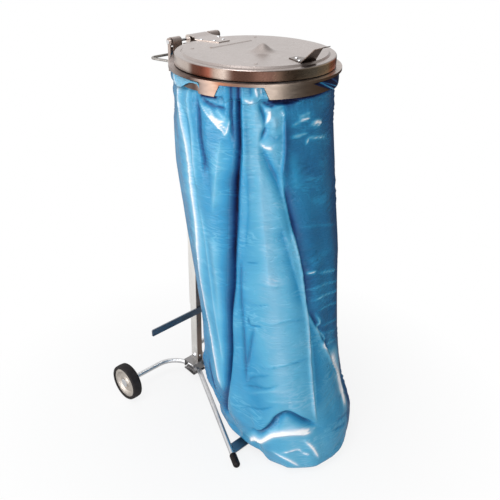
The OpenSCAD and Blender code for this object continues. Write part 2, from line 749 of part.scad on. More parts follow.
// Seat for a leg in a web of the saddle: a bore along the bend's own direction there
module web_seat(y) {
    along = (y - axle_y) / cos(leg_tilt);
    ahead = along + leg_bend_r;
    in_leg_plane() translate([bend_x - sqrt(leg_bend_r * leg_bend_r - ahead * ahead), along, 0])
        rotate([0, 0, -asin(ahead / leg_bend_r)]) rotate([90, 0, 0])
            cylinder(r = leg_r + slide, h = 5 * saddle_t, center = true);
}

// Saddle: an inverted channel on the two legs, with a spigot that holds the post
spigot_inset = post_wall + slide;
spigot_w = lower_w - 2 * spigot_inset;
spigot_d = lower_d - 2 * spigot_inset;
module leg_saddle() {
    color(steel) placed() difference() {
        union() {
            translate([-saddle_w / 2, saddle_front_y, 0]) {
                translate([0, 0, saddle_top_z - saddle_t]) cube([saddle_w, saddle_d, saddle_t]);
                for (y = [0, saddle_d - saddle_t])
                    translate([0, y, leg_plane_z(saddle_front_y + y)])
                        cube([saddle_w, saddle_t, saddle_top_z - leg_plane_z(saddle_front_y + y)]);
            }
            translate([-spigot_w / 2, lower_y + spigot_inset, saddle_top_z - saddle_t])
                square_tube(spigot_w, spigot_d, spigot_h + saddle_t, post_wall);
        }
        both_sides() for (y = [0, saddle_d - saddle_t]) web_seat(saddle_front_y + y + saddle_t / 2);
        side_bolt_hole();
        front_screw_hole();
        translate([0, saddle_mid_y, 0]) cylinder(r = bolt_r + seat, h = 2 * saddle_top_z);
    }
}
// Plate under the legs, pulled up by one bolt that passes between them
module saddle_plate() {
    color(steel) placed() difference() {
        in_leg_plane()
            translate([-saddle_w / 2, (saddle_front_y - axle_y) / cos(leg_tilt), -leg_r - seat - saddle_t])
                cube([saddle_w, saddle_d, saddle_t]);
        translate([0, saddle_mid_y, 0]) cylinder(r = bolt_r + seat, h = 2 * saddle_top_z);
    }
}
saddle_bolt_z = leg_plane_z(saddle_mid_y) - leg_r - 2 * saddle_t - 1;
module saddle_bolt() {
    head_h = 4;
    color(dark_steel) placed() translate([0, saddle_mid_y, saddle_bolt_z]) {
        translate([0, 0, -head_h]) cylinder(r = 2 * bolt_r, h = head_h);
        cylinder(r = bolt_r, h = saddle_top_z - saddle_bolt_z + 7);
    }
}
module saddle_nut() {
    color(dark_steel) placed() translate([0, saddle_mid_y, saddle_top_z])
        hex_nut(1.9 * bolt_r, bolt_r + seat, 5);
}

// The legs lie in one plane that falls from the axle to the feet
module in_leg_plane() {
    translate([0, axle_y, axle_z]) rotate([leg_tilt, 0, 0]) children();
}
module leg_tube(r, bore) {
    translate([bend_x, 0, 0]) rotate([0, 90, 0]) linear_extrude(axle_end_x - bend_x) annulus(r, bore);
    translate([bend_x, -leg_bend_r, 0]) rotate([0, 0, 90]) rotate_extrude(angle = 90 + leg_splay)
        translate([leg_bend_r, 0]) annulus(r, bore);
    along_leg() translate([0, 0, -bend_lap]) linear_extrude(foot_l + bend_lap)
        annulus(r - bend_skin, bore + bend_skin);
}
module along_leg() {
    translate([bend_end_x, -bend_end_y, 0]) rotate([0, 0, leg_splay]) rotate([90, 0, 0]) children();
}
module leg() {
    stop_x = wheel_x - hub_half - washer_t - bead_w;
    in_leg_plane() {
        leg_tube(leg_r, leg_r - leg_wall);
        translate([stop_x, 0, 0]) rotate([0, 90, 0]) linear_extrude(bead_w)
            annulus(leg_r + 2, leg_r - leg_wall / 2);
    }
}
module left_leg() {
    color(steel) placed() mirror([1, 0, 0]) leg();
}
module right_leg() {
    color(steel) placed() leg();
}

// Flat bar between the legs, its ends cut to the tubes
module floor_bar() {
    mid = leg_reach - floor_bar_back;
    near = mid - floor_bar_w / 2;
    far = mid + floor_bar_w / 2;
    near_x = bend_end_x + (near - bend_end_y) * tan(leg_splay);
    far_x = bend_end_x + (far - bend_end_y) * tan(leg_splay);
    color(dark_steel) placed() difference() {
        in_leg_plane() translate([0, 0, -floor_bar_t / 2]) linear_extrude(floor_bar_t)
            polygon([[-near_x, -near], [near_x, -near], [far_x, -far], [-far_x, -far]]);
        both_sides() in_leg_plane() along_leg() cylinder(r = leg_r + seat, h = 2 * foot_l);
    }
}

module foot_cap() {
    in_leg_plane() translate([foot_x, -leg_reach, 0]) rotate([0, 0, leg_splay]) rotate([-90, 0, 0])
        difference() {
            union() {
                sphere(cap_r);
                cylinder(r = cap_r, h = cap_l - 2);
                translate([0, 0, cap_l - 2]) cylinder(r1 = cap_r, r2 = cap_r - 1, h = 2);
            }
            cylinder(r = leg_r + seat, h = 2 * cap_l);
        }
}
module left_foot_cap() {
    color(rubber) placed() mirror([1, 0, 0]) foot_cap();
}
module right_foot_cap() {
    color(rubber) placed() foot_cap();
}

// Wheels: a pressed disc with a channel rim, and a rubber tyre in the channel
rim_r = disc_r - disc_seat;
rim_half = tyre_w / 2 - 4.5;
module wheel_place() {
    translate([wheel_x, axle_y, axle_z]) rotate([0, 90, 0]) children();
}
module tyre() {
    edge = 3;
    half = tyre_w / 2;
    grip = rim_half - seat;
    wheel_place() rotate_extrude($fn = big_fn / 2) polygon(concat(
        [[rim_r + seat, -grip], [disc_r + seat, -grip]],
        [[disc_r + seat, -half + 1], [disc_r + seat + 1, -half]],
        [for (turn = [-90:30:0]) [wheel_r - 0.6 - edge + edge * cos(turn), -half + edge + edge * sin(turn)]],
        [[wheel_r, -half / 3], [wheel_r, half / 3]],
        [for (turn = [0:30:90]) [wheel_r - 0.6 - edge + edge * cos(turn), half - edge + edge * sin(turn)]],
        [[disc_r + seat + 1, half], [disc_r + seat, half - 1], [disc_r + seat, grip], [rim_r + seat, grip]]
    ));
}
module wheel_disc() {
    boss_r = 12;
    dish = 5.5;
    dish_r = 27;
    roll_r = disc_r - 8;
    side = [
        [leg_r + run, hub_half], [boss_r, hub_half], [boss_r + 1.5, hub_half - dish / 2],
        [boss_r + 5, hub_half - dish + 0.5], [dish_r, hub_half - dish], [dish_r + 4, hub_half - dish / 2],
        [roll_r, hub_half + 0.5], [disc_r - 1.5, hub_half + 1], [disc_r, hub_half + 0.2],
        [disc_r, rim_half], [rim_r, rim_half]
    ];
    far_side = [for (i = [len(side) - 1:-1:0]) [side[i][0], -side[i][1]]];
    wheel_place() rotate_extrude($fn = big_fn / 2) polygon(concat(side, far_side));
}
module left_tyre() {
    color(rubber) placed() mirror([1, 0, 0]) tyre();
}
module right_tyre() {
    color(rubber) placed() tyre();
}
module left_wheel_disc() {
    color(steel) placed() mirror([1, 0, 0]) wheel_disc();
}
module right_wheel_disc() {
    color(steel) placed() wheel_disc();
}

// Washers on both sides of each hub, and a domed cap pressed into each axle end
module axle_washers() {
    color(steel) placed() both_sides() wheel_place()
        for (z = [-hub_half - washer_t + seat, hub_half + seat]) translate([0, 0, z]) difference() {
            cylinder(r = washer_r, h = washer_t - 2 * seat);
            translate([0, 0, -1]) cylinder(r = leg_r + seat, h = washer_t + 2);
        }
}
module axle_cap() {
    dome_r = 12;
    dome_h = tyre_w / 2 - hub_half - washer_t;
    plug_r = leg_r - leg_wall - seat;
    translate([axle_end_x, axle_y, axle_z]) rotate([0, 90, 0]) rotate_extrude() polygon(concat(
        [[0, -14], [plug_r - 1, -14], [plug_r, -12], [plug_r, 0]],
        [for (turn = [0:15:90]) [dome_r * cos(turn), dome_h * sin(turn)]]
    ));
}
module left_axle_cap() {
    color(steel) placed() mirror([1, 0, 0]) axle_cap();
}
module right_axle_cap() {
    color(steel) placed() axle_cap();
}

// Bag: one closed film wall, open at the top and folded out over the hoop, the hem raised at the arms
function round_row(r, z) = [for (a = bag_angles) [r * cos(a), r * sin(a), z]];
function hem_row(r) = [
    for (a = bag_angles) let(arms = 1 - smooth((abs(turn_gap(a, 90)) - 20) / 15))
        [r * cos(a), r * sin(a), hoop_low_z - 2 + (hoop_arm_h + 4) * arms]
];
module refuse_bag() {
    edge = 1;
    hem_r = tongue_r - ring_t - film_gap;
    top_z = ring_under_z - film_gap;
    throat_r = bag_in_r - film_t;
    near_rows = concat(
        [hem_row(hem_r - film_t), round_row(hem_r - film_t, top_z - film_t)],
        [round_row(bag_in_r, top_z - film_t), round_row(bag_in_r, bag_top_z)],
        bag_skin(bag_angles, 0)
    );
    far_rows = concat(
        [hem_row(hem_r), round_row(hem_r, top_z - edge), round_row(hem_r - edge, top_z)],
        [round_row(throat_r + edge, top_z), round_row(throat_r, top_z - edge)],
        [round_row(throat_r, bag_top_z)],
        bag_skin(bag_angles, film_t)
    );
    centre = bag_axis(0);
    middle_z = bag_floor(centre[1]);
    near_n = len(near_rows);
    rows = concat(near_rows, [for (i = [len(far_rows) - 1:-1:0]) far_rows[i]]);
    total = len(rows);
    points = concat([for (row = rows) for (p = row) p], [
        [centre[0], centre[1], middle_z], [centre[0], centre[1], middle_z + film_t]
    ]);
    function at(row, i) = (row % total) * bag_n + i % bag_n;
    // Every pair of rows is joined, apart from the two that end at the centre points
    sides = [
        for (row = [0:total - 1]) if (row != near_n - 1) for (i = [0:bag_n - 1]) for (half = [0, 1])
            half == 0 ? [at(row, i), at(row + 1, i), at(row + 1, i + 1)]
                : [at(row, i), at(row + 1, i + 1), at(row, i + 1)]
    ];
    caps = [
        for (i = [0:bag_n - 1]) for (half = [0, 1])
            half == 0 ? [at(near_n - 1, i), total * bag_n, at(near_n - 1, i + 1)]
                : [at(near_n, i), at(near_n, i + 1), total * bag_n + 1]
    ];
    color("deepskyblue") placed() polyhedron(points, concat(sides, caps));
}

lid();
lid_grip();
lid_grip_rivets();
lid_hinge_plate();
lid_hinge_rivets();
clamp_ring();
hinge_pin();
head_bracket();
base_hoop();
push_handle();
upper_post();
lower_post();
cross_strip();
post_bolt();
post_nut();
front_screw();
leg_saddle();
saddle_plate();
saddle_bolt();
saddle_nut();
left_leg();
right_leg();
floor_bar();
left_foot_cap();
right_foot_cap();
left_tyre();
right_tyre();
left_wheel_disc();
right_wheel_disc();
axle_washers();
left_axle_cap();
right_axle_cap();
refuse_bag();
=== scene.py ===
import math

import bmesh
import bpy
import numpy as np
from mathutils import Matrix, Vector


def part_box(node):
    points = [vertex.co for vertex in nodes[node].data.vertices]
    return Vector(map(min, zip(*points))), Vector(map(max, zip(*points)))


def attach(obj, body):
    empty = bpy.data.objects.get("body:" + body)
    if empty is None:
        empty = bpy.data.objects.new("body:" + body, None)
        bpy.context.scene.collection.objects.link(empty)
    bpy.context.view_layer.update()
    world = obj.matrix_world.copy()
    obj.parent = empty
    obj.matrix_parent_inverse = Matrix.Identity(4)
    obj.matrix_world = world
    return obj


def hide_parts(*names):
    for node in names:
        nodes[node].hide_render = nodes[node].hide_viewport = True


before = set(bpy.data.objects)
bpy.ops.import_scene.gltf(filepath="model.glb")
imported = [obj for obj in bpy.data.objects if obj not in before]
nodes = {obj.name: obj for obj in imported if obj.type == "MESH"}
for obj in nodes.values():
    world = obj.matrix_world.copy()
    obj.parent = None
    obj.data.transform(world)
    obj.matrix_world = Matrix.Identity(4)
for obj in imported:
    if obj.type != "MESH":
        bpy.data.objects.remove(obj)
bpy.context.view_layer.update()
MM = 0.001
# The hinge pin lies this far behind the ring's axis, in millimetres, which places that axis in the frame
PIN_BACK = 192
pin_low, pin_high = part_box("hinge_pin")
AXIS_Y = (pin_low[1] + pin_high[1]) / 2 / MM - PIN_BACK
# Angle round the ring that faces the photo's camera
SEEN_FROM = 225


# Lamps: name, place, the point that each faces, width and height in metres, and power in watts
LAMPS = [
    ("left", (-2.4, 0.35, 0.7), (0, 0, 0.5), (1.5, 1.8), 30),
    ("front", (-1.25, -2.2, 0.45), (0, -0.1, 0.4), (1.4, 1.1), 16),
    ("top", (-1.4, -0.5, 3.0), (0, 0, 0.8), (1.2, 1.2), 34),
]


# Camera, light and stage
def make_camera():
    """The photo's camera, solved from the ring, the post, the feet and the wheels."""
    azimuth, pitch, roll = math.radians(-45.42), math.radians(28.01), math.radians(0.95)
    aside, behind, height, distance = -0.00291, 0.00208, 0.49416, 1.62778
    level = math.cos(pitch)
    back = Vector((math.sin(azimuth) * level, -math.cos(azimuth) * level, math.sin(pitch)))
    right = Vector((math.cos(azimuth), math.sin(azimuth), 0))
    up = back.cross(right)
    side = right * math.cos(roll) + up * math.sin(roll)
    top = up * math.cos(roll) - right * math.sin(roll)
    target = right * aside + Vector((0, behind + AXIS_Y * MM, height))
    data = bpy.data.cameras.new("camera")
    data.lens, data.sensor_width = 49.47, 36
    data.clip_start, data.clip_end = 0.05, 40
    cam = bpy.data.objects.new("camera", data)
    bpy.context.collection.objects.link(cam)
    pose = Matrix((side, top, back)).transposed().to_4x4()
    pose.translation = target + back * distance
    cam.matrix_world = pose
    bpy.context.scene.camera = cam
    bpy.context.scene.view_settings.view_transform = "Standard"


def area_light(name, place, target, size, energy):
    """A rectangular lamp that faces its target."""
    data = bpy.data.lights.new(name, "AREA")
    data.shape, data.size, data.size_y = "RECTANGLE", size[0], size[1]
    data.energy = energy
    lamp = bpy.data.objects.new(name, data)
    bpy.context.collection.objects.link(lamp)
    lamp.location = place
    lamp.rotation_mode = "QUATERNION"
    lamp.rotation_quaternion = (Vector(target) - Vector(place)).to_track_quat("-Z", "Y")


def map_range(tree, value, low, high, a, b):
    """Turns a value between low and high into one between a and b."""
    node = tree.nodes.new("ShaderNodeMapRange")
    for socket, end in (("From Min", low), ("From Max", high), ("To Min", a), ("To Max", b)):
        node.inputs[socket].default_value = end
    tree.links.new(value, node.inputs["Value"])
    return node.outputs["Result"]


def make_world():
    """White for the camera and in reflections; a plain fill for the rest."""
    world = bpy.data.worlds.new("studio")
    bpy.context.scene.world = world
    world.use_nodes = True
    tree = world.node_tree
    n, link = tree.nodes, tree.links.new
    n.clear()
    out = n.new("ShaderNodeOutputWorld")
    path = n.new("ShaderNodeLightPath")
    shaders = {}
    kinds = (("fill", (0.95, 0.97, 1.0), 0.28), ("mirrored", (1, 1, 1), 1.0), ("seen", (1, 1, 1), 1.0))
    for kind, color, strength in kinds:
        node = n.new("ShaderNodeBackground")
        node.inputs["Color"].default_value = (*color, 1)
        node.inputs["Strength"].default_value = strength
        shaders[kind] = node
    first, second, third = (n.new("ShaderNodeMixShader") for _ in range(3))
    for ray, mix, below, above in (
        ("Is Glossy Ray", first, shaders["fill"], shaders["mirrored"]),
        ("Is Transmission Ray", second, first, shaders["seen"]),
        ("Is Camera Ray", third, second, shaders["seen"]),
    ):
        link(path.outputs[ray], mix.inputs["Fac"])
        link(below.outputs[0], mix.inputs[1])
        link(above.outputs[0], mix.inputs[2])
    link(third.outputs[0], out.inputs["Surface"])
    # Reflections grow dimmer towards the camera's right
    place, toward = n.new("ShaderNodeTexCoord"), n.new("ShaderNodeVectorMath")
    toward.operation = "DOT_PRODUCT"
    toward.inputs[1].default_value = (0.7, -0.71, 0)
    link(place.outputs["Generated"], toward.inputs[0])
    strength = map_range(tree, toward.outputs["Value"], 0.05, 0.65, 1.0, 0.35)
    link(strength, shaders["mirrored"].inputs["Strength"])


def make_stage():
    """A pale floor: white to the camera away from the object, with a faint shadow under it, and in
    reflections a painted glow, white on the left, where the lamps are, and dim on the right."""
    mesh = bpy.data.meshes.new("floor")
    reach, low = 16, -0.0005
    corners = [(x * reach, y * reach, low) for x, y in ((-1, -1), (1, -1), (1, 1), (-1, 1))]
    mesh.from_pydata(corners, [], [(0, 1, 2, 3)])
    floor = bpy.data.objects.new("floor", mesh)
    bpy.context.collection.objects.link(floor)
    paper = bpy.data.materials.new("paper")
    paper.use_nodes = True
    tree = paper.node_tree
    n, link = tree.nodes, tree.links.new
    lit = n["Principled BSDF"]
    lit.inputs["Base Color"].default_value = (0.9, 0.9, 0.9, 1)
    lit.inputs["Roughness"].default_value = 0.6
    path, place = n.new("ShaderNodeLightPath"), n.new("ShaderNodeTexCoord")

    def measured(operation, *other):
        node = n.new("ShaderNodeVectorMath")
        node.operation = operation
        link(place.outputs["Object"], node.inputs[0])
        if other:
            node.inputs[1].default_value = other
        return node.outputs["Value"]

    def blended(factor, below, above):
        node = n.new("ShaderNodeMixShader")
        link(factor, node.inputs["Fac"])
        link(below, node.inputs[1])
        link(above, node.inputs[2])
        return node.outputs[0]

    white, mirrored = n.new("ShaderNodeEmission"), n.new("ShaderNodeEmission")
    to_left = measured("DOT_PRODUCT", -0.97, 0.24, 0)
    link(map_range(tree, to_left, -0.7, 0.9, 0.1, 1.0), mirrored.inputs["Strength"])
    whiter = map_range(tree, measured("LENGTH"), 0.15, 0.75, 0.82, 1.0)
    near = blended(whiter, lit.outputs[0], white.outputs[0])
    shown = blended(path.outputs["Is Glossy Ray"], lit.outputs[0], mirrored.outputs[0])
    shown = blended(path.outputs["Is Camera Ray"], shown, near)
    link(shown, n["Material Output"].inputs["Surface"])
    mesh.materials.append(paper)


# Materials
def fill_stops(node, stops):
    """Gives a colour ramp its stops, each a place from 0 to 1 and a colour."""
    elements = node.color_ramp.elements
    while len(elements) < len(stops):
        elements.new(0.5)
    for element, (place, color) in zip(elements, stops):
        element.position = place
        element.color = (*color, 1)


class Look:
    """A node material built step by step around one Principled shader."""

    def __init__(self, name, color, roughness, metallic=0.0):
        self.material = bpy.data.materials.new(name)
        self.material.use_nodes = True
        self.tree = self.material.node_tree
        self.shader = self.tree.nodes["Principled BSDF"]
        self.shader.inputs["Base Color"].default_value = (*color, 1)
        self.shader.inputs["Roughness"].default_value = roughness
        self.shader.inputs["Metallic"].default_value = metallic
        self.place = self.add("ShaderNodeTexCoord").outputs["Object"]

    def add(self, kind, **values):
        """A new node with the given settings."""
        node = self.tree.nodes.new(kind)
        for key, value in values.items():
            setattr(node, key, value)
        return node

    def join(self, a, b):
        self.tree.links.new(a, b)

    def stretched(self, scale):
        mapping = self.add("ShaderNodeMapping")
        mapping.inputs["Scale"].default_value = scale
        self.join(self.place, mapping.inputs["Vector"])
        return mapping.outputs["Vector"]

    def noise(self, scale, detail, stretch=None, distortion=0.0):
        """Noise from 0 to 1, on coordinates that may be scaled by axis first."""
        node = self.add("ShaderNodeTexNoise")
        node.inputs["Scale"].default_value = scale
        node.inputs["Detail"].default_value = detail
        node.inputs["Distortion"].default_value = distortion
        self.join(self.stretched(stretch) if stretch else self.place, node.inputs["Vector"])
        return node.outputs["Fac"]

    def ramp(self, value, low, high, a, b):
        return map_range(self.tree, value, low, high, a, b)

    def blend(self, share, below, above):
        """Mixes two colours, or the outputs that hold them, by a share."""
        node = self.add("ShaderNodeMix", data_type="RGBA")
        for value, socket in ((share, 0), (below, 6), (above, 7)):
            if isinstance(value, tuple):
                node.inputs[socket].default_value = (*value, 1)
            else:
                self.join(value, node.inputs[socket])
        return node.outputs[2]

    def compute(self, operation, *values):
        """A sum, product or the like of outputs and plain numbers."""
        node = self.add("ShaderNodeMath", operation=operation)
        for value, socket in zip(values, node.inputs):
            if isinstance(value, float):
                socket.default_value = value
            else:
                self.join(value, socket)
        return node.outputs[0]

    def facing(self, *way):
        """How far the surface faces a way that turns with its body, from -1 to 1."""
        normal = self.add("ShaderNodeNewGeometry")
        local = self.add("ShaderNodeVectorTransform", vector_type="NORMAL")
        local.convert_from, local.convert_to = "WORLD", "OBJECT"
        along = self.add("ShaderNodeVectorMath", operation="DOT_PRODUCT")
        self.join(normal.outputs["True Normal"], local.inputs["Vector"])
        self.join(local.outputs["Vector"], along.inputs[0])
        along.inputs[1].default_value = way
        return along.outputs["Value"]

    def paint(self, color):
        self.join(color, self.shader.inputs["Base Color"])

    def tint(self, value, low, high, a, b):
        """Colours the surface from a to b as a value goes from low to high."""
        self.paint(self.blend(self.ramp(value, low, high, 0, 1), a, b))

    def rough(self, value, low, high, a, b):
        self.join(self.ramp(value, low, high, a, b), self.shader.inputs["Roughness"])

    def bump(self, value, strength, distance, after=None):
        """Raises the surface's shading by a value, on top of another bump if there is one."""
        node = self.add("ShaderNodeBump")
        node.inputs["Strength"].default_value = strength
        node.inputs["Distance"].default_value = distance
        self.join(value, node.inputs["Height"])
        if after:
            self.join(after, node.inputs["Normal"])
        self.join(node.outputs["Normal"], self.shader.inputs["Normal"])
        return node.outputs["Normal"]


def brushed(name, color, dark, roughness):
    """Steel brushed along the X axis, with darker clouds."""
    look = Look(name, color, roughness, 1.0)
    grain = look.noise(1.0, 3, (30, 400, 400))
    cloud = look.noise(9.0, 4)
    look.tint(cloud, 0.35, 0.65, dark, color)
    look.rough(grain, 0.3, 0.7, roughness * 0.8, roughness * 1.3)
    look.bump(grain, 0.12, 0.0004)
    return look.material


def bands_round(look, bands):
    """Colours by angle round the ring's axis, as soft upright bands of painted reflection that mirror a
    room.
    """
    lifted, turned = look.add("ShaderNodeMapping"), look.add("ShaderNodeMapping")
    lifted.inputs["Location"].default_value = (0, -AXIS_Y * MM, 0)
    turned.inputs["Rotation"].default_value = (0, 0, math.radians(-SEEN_FROM))
    round_axis = look.add("ShaderNodeTexGradient", gradient_type="RADIAL")
    colors = look.add("ShaderNodeValToRGB")
    look.join(look.place, lifted.inputs["Vector"])
    look.join(lifted.outputs["Vector"], turned.inputs["Vector"])
    look.join(turned.outputs["Vector"], round_axis.inputs["Vector"])
    look.join(round_axis.outputs["Fac"], colors.inputs["Fac"])
    fill_stops(colors, [(0.5 + (angle - SEEN_FROM) / 360, color) for angle, color in bands])
    return colors.outputs["Color"]


# Angle round the ring, then the colour there as linear light, for what the metal mirrors in the photo: the
# lid's skirt, the tongues and other upright faces of the ring, and its flat flange
# These bands are painted reflections of the room, not the metal's own colour.
SKIRT_BANDS = [(142, (0.6, 0.52, 0.47)), (173, (0.5, 0.42, 0.37)), (178, (0.14, 0.06, 0.04)),
               (187, (0.1, 0.03, 0.019)), (193, (0.13, 0.042, 0.027)), (197, (0.15, 0.11, 0.09)),
               (204, (0.26, 0.21, 0.18)), (210, (0.1, 0.05, 0.036)), (235, (0.075, 0.04, 0.03)),
               (252, (0.16, 0.11, 0.075)), (268, (0.5, 0.41, 0.3)), (282, (0.95, 0.66, 0.38)),
               (288, (1, 0.32, 0.11)), (297, (0.8, 0.18, 0.07)), (303, (0.14, 0.06, 0.04)),
               (312, (0.4, 0.3, 0.25))]
TONGUE_BANDS = [(142, (0.45, 0.37, 0.33)), (180, (0.1, 0.06, 0.05)), (188, (0.28, 0.21, 0.18)),
                (197, (0.32, 0.22, 0.17)), (203, (0.22, 0.09, 0.05)), (228, (0.26, 0.21, 0.18)),
                (250, (0.4, 0.32, 0.26)), (272, (0.36, 0.22, 0.14)), (296, (0.3, 0.12, 0.06)),
                (312, (0.14, 0.08, 0.06))]
RING_BANDS = [(142, (0.5, 0.43, 0.4)), (168, (0.2, 0.155, 0.14)), (190, (0.2, 0.155, 0.14)),
              (202, (0.5, 0.43, 0.41)), (238, (0.72, 0.68, 0.67)), (258, (0.36, 0.3, 0.27)),
              (284, (0.4, 0.34, 0.31)), (312, (0.55, 0.48, 0.44))]


def sheet_metal(name, flat, bands, roughness, stretch, flat_bands=None):
    """Thin steel sheet: cloudy, or banded with painted reflections, where it lies flat, and banded with
    painted reflections round its upright faces.
    """
    look = Look(name, flat, roughness, 1.0)
    grain = look.noise(1.0, 3, stretch)
    if flat_bands:
        above = bands_round(look, flat_bands)
    else:
        cloud = look.ramp(look.noise(6.0, 4), 0.35, 0.65, 0, 1)
        above = look.blend(cloud, tuple(c * 0.9 for c in flat), flat)
    upright = look.ramp(look.compute("ABSOLUTE", look.facing(0, 0, 1)), 0.25, 0.8, 1, 0)
    look.paint(look.blend(upright, above, bands_round(look, bands)))
    look.rough(grain, 0.3, 0.7, roughness * 0.85, roughness * 1.2)
    look.bump(grain, 0.05, 0.0002)
    return look.material


def post_metal(name, side, front):
    """Rolled steel with painted light and shade: pale on its lit sides and darker in front, where the bag
    shades it.
    """
    look = Look(name, side, 0.32, 1.0)
    grain = look.noise(1.0, 3, (400, 400, 30))
    cloud = look.ramp(look.noise(1.0, 4, (20, 20, 5)), 0.35, 0.65, 0, 1)
    # The pale sides are painted light, and the dark front is painted shade.
    pale = look.blend(cloud, tuple(c * 0.9 for c in side), side)
    dark = look.blend(cloud, front, tuple(c * 2.2 for c in front))
    shaded_front_share = look.ramp(look.facing(0, -1, 0), 0.3, 0.7, 0, 1)
    look.paint(look.blend(shaded_front_share, pale, dark))
    look.rough(grain, 0.3, 0.7, 0.26, 0.4)
    look.bump(grain, 0.1, 0.0003)
    return look.material


def plated(name, color, roughness, pitted=0.03):
    """Zinc plating with a faint grain."""
    look = Look(name, color, roughness, 1.0)
    cloud = look.noise(40.0, 3)
    look.tint(cloud, 0.3, 0.7, tuple(c * 0.9 for c in color), color)
    look.rough(cloud, 0.3, 0.7, roughness * 0.85, roughness * 1.2)
    look.bump(look.noise(120.0, 2), pitted, 0.0002)
    return look.material


def rubber(name, color, roughness):
    """Matt rubber with a fine tooth."""
    look = Look(name, color, roughness)
    look.shader.inputs["Specular IOR Level"].default_value = 0.2
    look.tint(look.noise(60.0, 3), 0.35, 0.65, color, tuple(c * 1.8 for c in color))
    look.rough(look.noise(30.0, 3), 0.3, 0.7, roughness * 0.8, roughness * 1.25)
    look.bump(look.noise(500.0, 2), 0.2, 0.0003)
    return look.material


def paint_nodes():
    """Gives every node of the CAD model its material."""
    sheet = sheet_metal("lid_sheet", (0.5, 0.44, 0.415), SKIRT_BANDS, 0.3, (60, 400, 400))
    ring = sheet_metal("ring_sheet", (0.42, 0.35, 0.32), TONGUE_BANDS, 0.36, (60, 60, 400), RING_BANDS)
    # The grip's dark colour is painted shade: its seen underside lies in shadow.
    grip = brushed("grip_sheet", (0.24, 0.18, 0.15), (0.06, 0.045, 0.038), 0.25)
    tube = plated("tube_zinc", (0.72, 0.72, 0.73), 0.34, 0.008)
    handle = plated("handle_zinc", (0.36, 0.34, 0.32), 0.25)
    post = post_metal("post_zinc", (0.97, 0.95, 0.91), (0.2, 0.15, 0.125))
    saddle = plated("saddle_zinc", (0.3, 0.29, 0.29), 0.35)
    # The strips' dark blue-grey is painted shade with a painted reflection of the blue bag.
    strip = plated("strip_zinc", (0.25, 0.27, 0.31), 0.35)
    disc = plated("disc_zinc", (0.6, 0.55, 0.5), 0.5)
    bright = plated("bright_zinc", (0.78, 0.78, 0.79), 0.16)
    tyre = rubber("tyre_rubber", (0.014, 0.012, 0.012), 0.6)
    cap = rubber("cap_rubber", (0.005, 0.003, 0.003), 0.5)
    looks = {
        sheet: ["lid", "lid_hinge_plate"],
        grip: ["lid_grip"],
        ring: ["clamp_ring", "head_bracket", "base_hoop"],
        post: ["upper_post", "lower_post"],
        saddle: ["leg_saddle", "saddle_plate"],
        tube: ["left_leg", "right_leg"],
        handle: ["push_handle"],
        strip: ["cross_strip", "floor_bar"],
        disc: ["left_wheel_disc", "right_wheel_disc", "axle_washers"],
        bright: ["lid_grip_rivets", "lid_hinge_rivets", "hinge_pin", "post_bolt", "post_nut", "front_screw",
                 "saddle_bolt", "saddle_nut", "left_axle_cap", "right_axle_cap"],
        tyre: ["left_tyre", "right_tyre"],
        cap: ["left_foot_cap", "right_foot_cap"],
    }
    for material, names in looks.items():
        for name in names:
            mesh = nodes[name].data
            mesh.materials.clear()
            mesh.materials.append(material)


# The bag: a grid over the angle round the ring and the height above the wall's own foot, in millimetres.
# Its columns stand closer together from DENSE_FROM to DENSE_TO, and its rows are even above FOOT_TOP.
DENSE_FROM, DENSE_TO, DENSE_COLUMNS, REAR_COLUMNS = 112, 338, 270, 50
FOOT_TOP, FOOT_ROWS, WALL_ROWS = 40, 20, 258
# Top of the wall, which is just under the hoop
BAG_TOP = 905.4
# Radius of the film in the hoop's bore and outside the hoop, and its edge's height where nothing moves it
BORE_R, HEM_R, HEM_LOW = 165.1, 168.6, 904.4
# The wall leans and slumps by so much between the height BEND_Z and its top
LEAN, SLUMP, BEND_Z = 22, 108, 26
# Angles of the left and right swell, and how many degrees each reaches
LEFT_AT, RIGHT_AT, SWELL_REACH = 145, 308, 70
# The legs and feet that the bag lies over, and its gaps to the floor and to them
LEG_REACH, AXLE_BACK, AXLE_Z, FOOT_R, LEG_R = 401, 279, 50, 9, 6.5
FLOOR_GAP, OVER_GAP = 1, 4
# The bag's underside starts to rise this far in front of the feet, and has risen after the second length
RISE_AHEAD, RISE_LENGTH = 53, 36
# How far the wall's top follows the film that hangs outside the hoop
ROUND_HOOP = 4
# The seen front and the two turned-up flaps: from and to which angle, and the degrees over which each
# starts and ends
SEEN_FRONT, LEFT_FLAP, RIGHT_FLAP = (114, 336, 6, 6), (146, 187, 10, 2), (285, 338, 3, 8)
# How far the film's edge hangs down in front, give or take its ruffle; the middle and half angle of the
# hoop's arms at the rear, and how much higher the edge is over them
HANG, RUFFLE, ARMS_AT, ARMS_HALF, ARMS_RAISE = 8, 3, 90, 15, 12
# The film outside the hoop stands out by PLAIN_BULGE, and at most by MOST_BULGE
PLAIN_BULGE, MOST_BULGE = 2.2, 8
# The shade of each tongue on the film: tone, degrees that it is narrower on each side, and lowest height
TONGUE_SHADE, SHADE_INSET, SHADE_LOW = 1.2, 3.5, 894
# The film over the hoop: heights of its rows in the bore, how far they lie inside it, and its topmost row's
# place outside the bore and height, then the height from which it goes down outside
BORE_ROWS, BORE_INSET, OVER_OUT, OVER_Z, OUTSIDE_Z = (909, 920, 930.9), 0.2, 1.6, 931.3, 931.2
HEM_ROWS, FLAP_ROWS = 12, 10
# The turned-up flaps of film: radius and upper edge, how much higher the film's edge lies at the left one,
# where the photo shows metal, and how many degrees the right one leans
FLAP_R, FLAP_TOP, LEFT_RAISE, RIGHT_LEAN = 172.8, 925, 18, -23
# Angle of each tongue's middle, and its half angle
TONGUES = [(191.5, 11), (270, 41), (348.5, 11)]
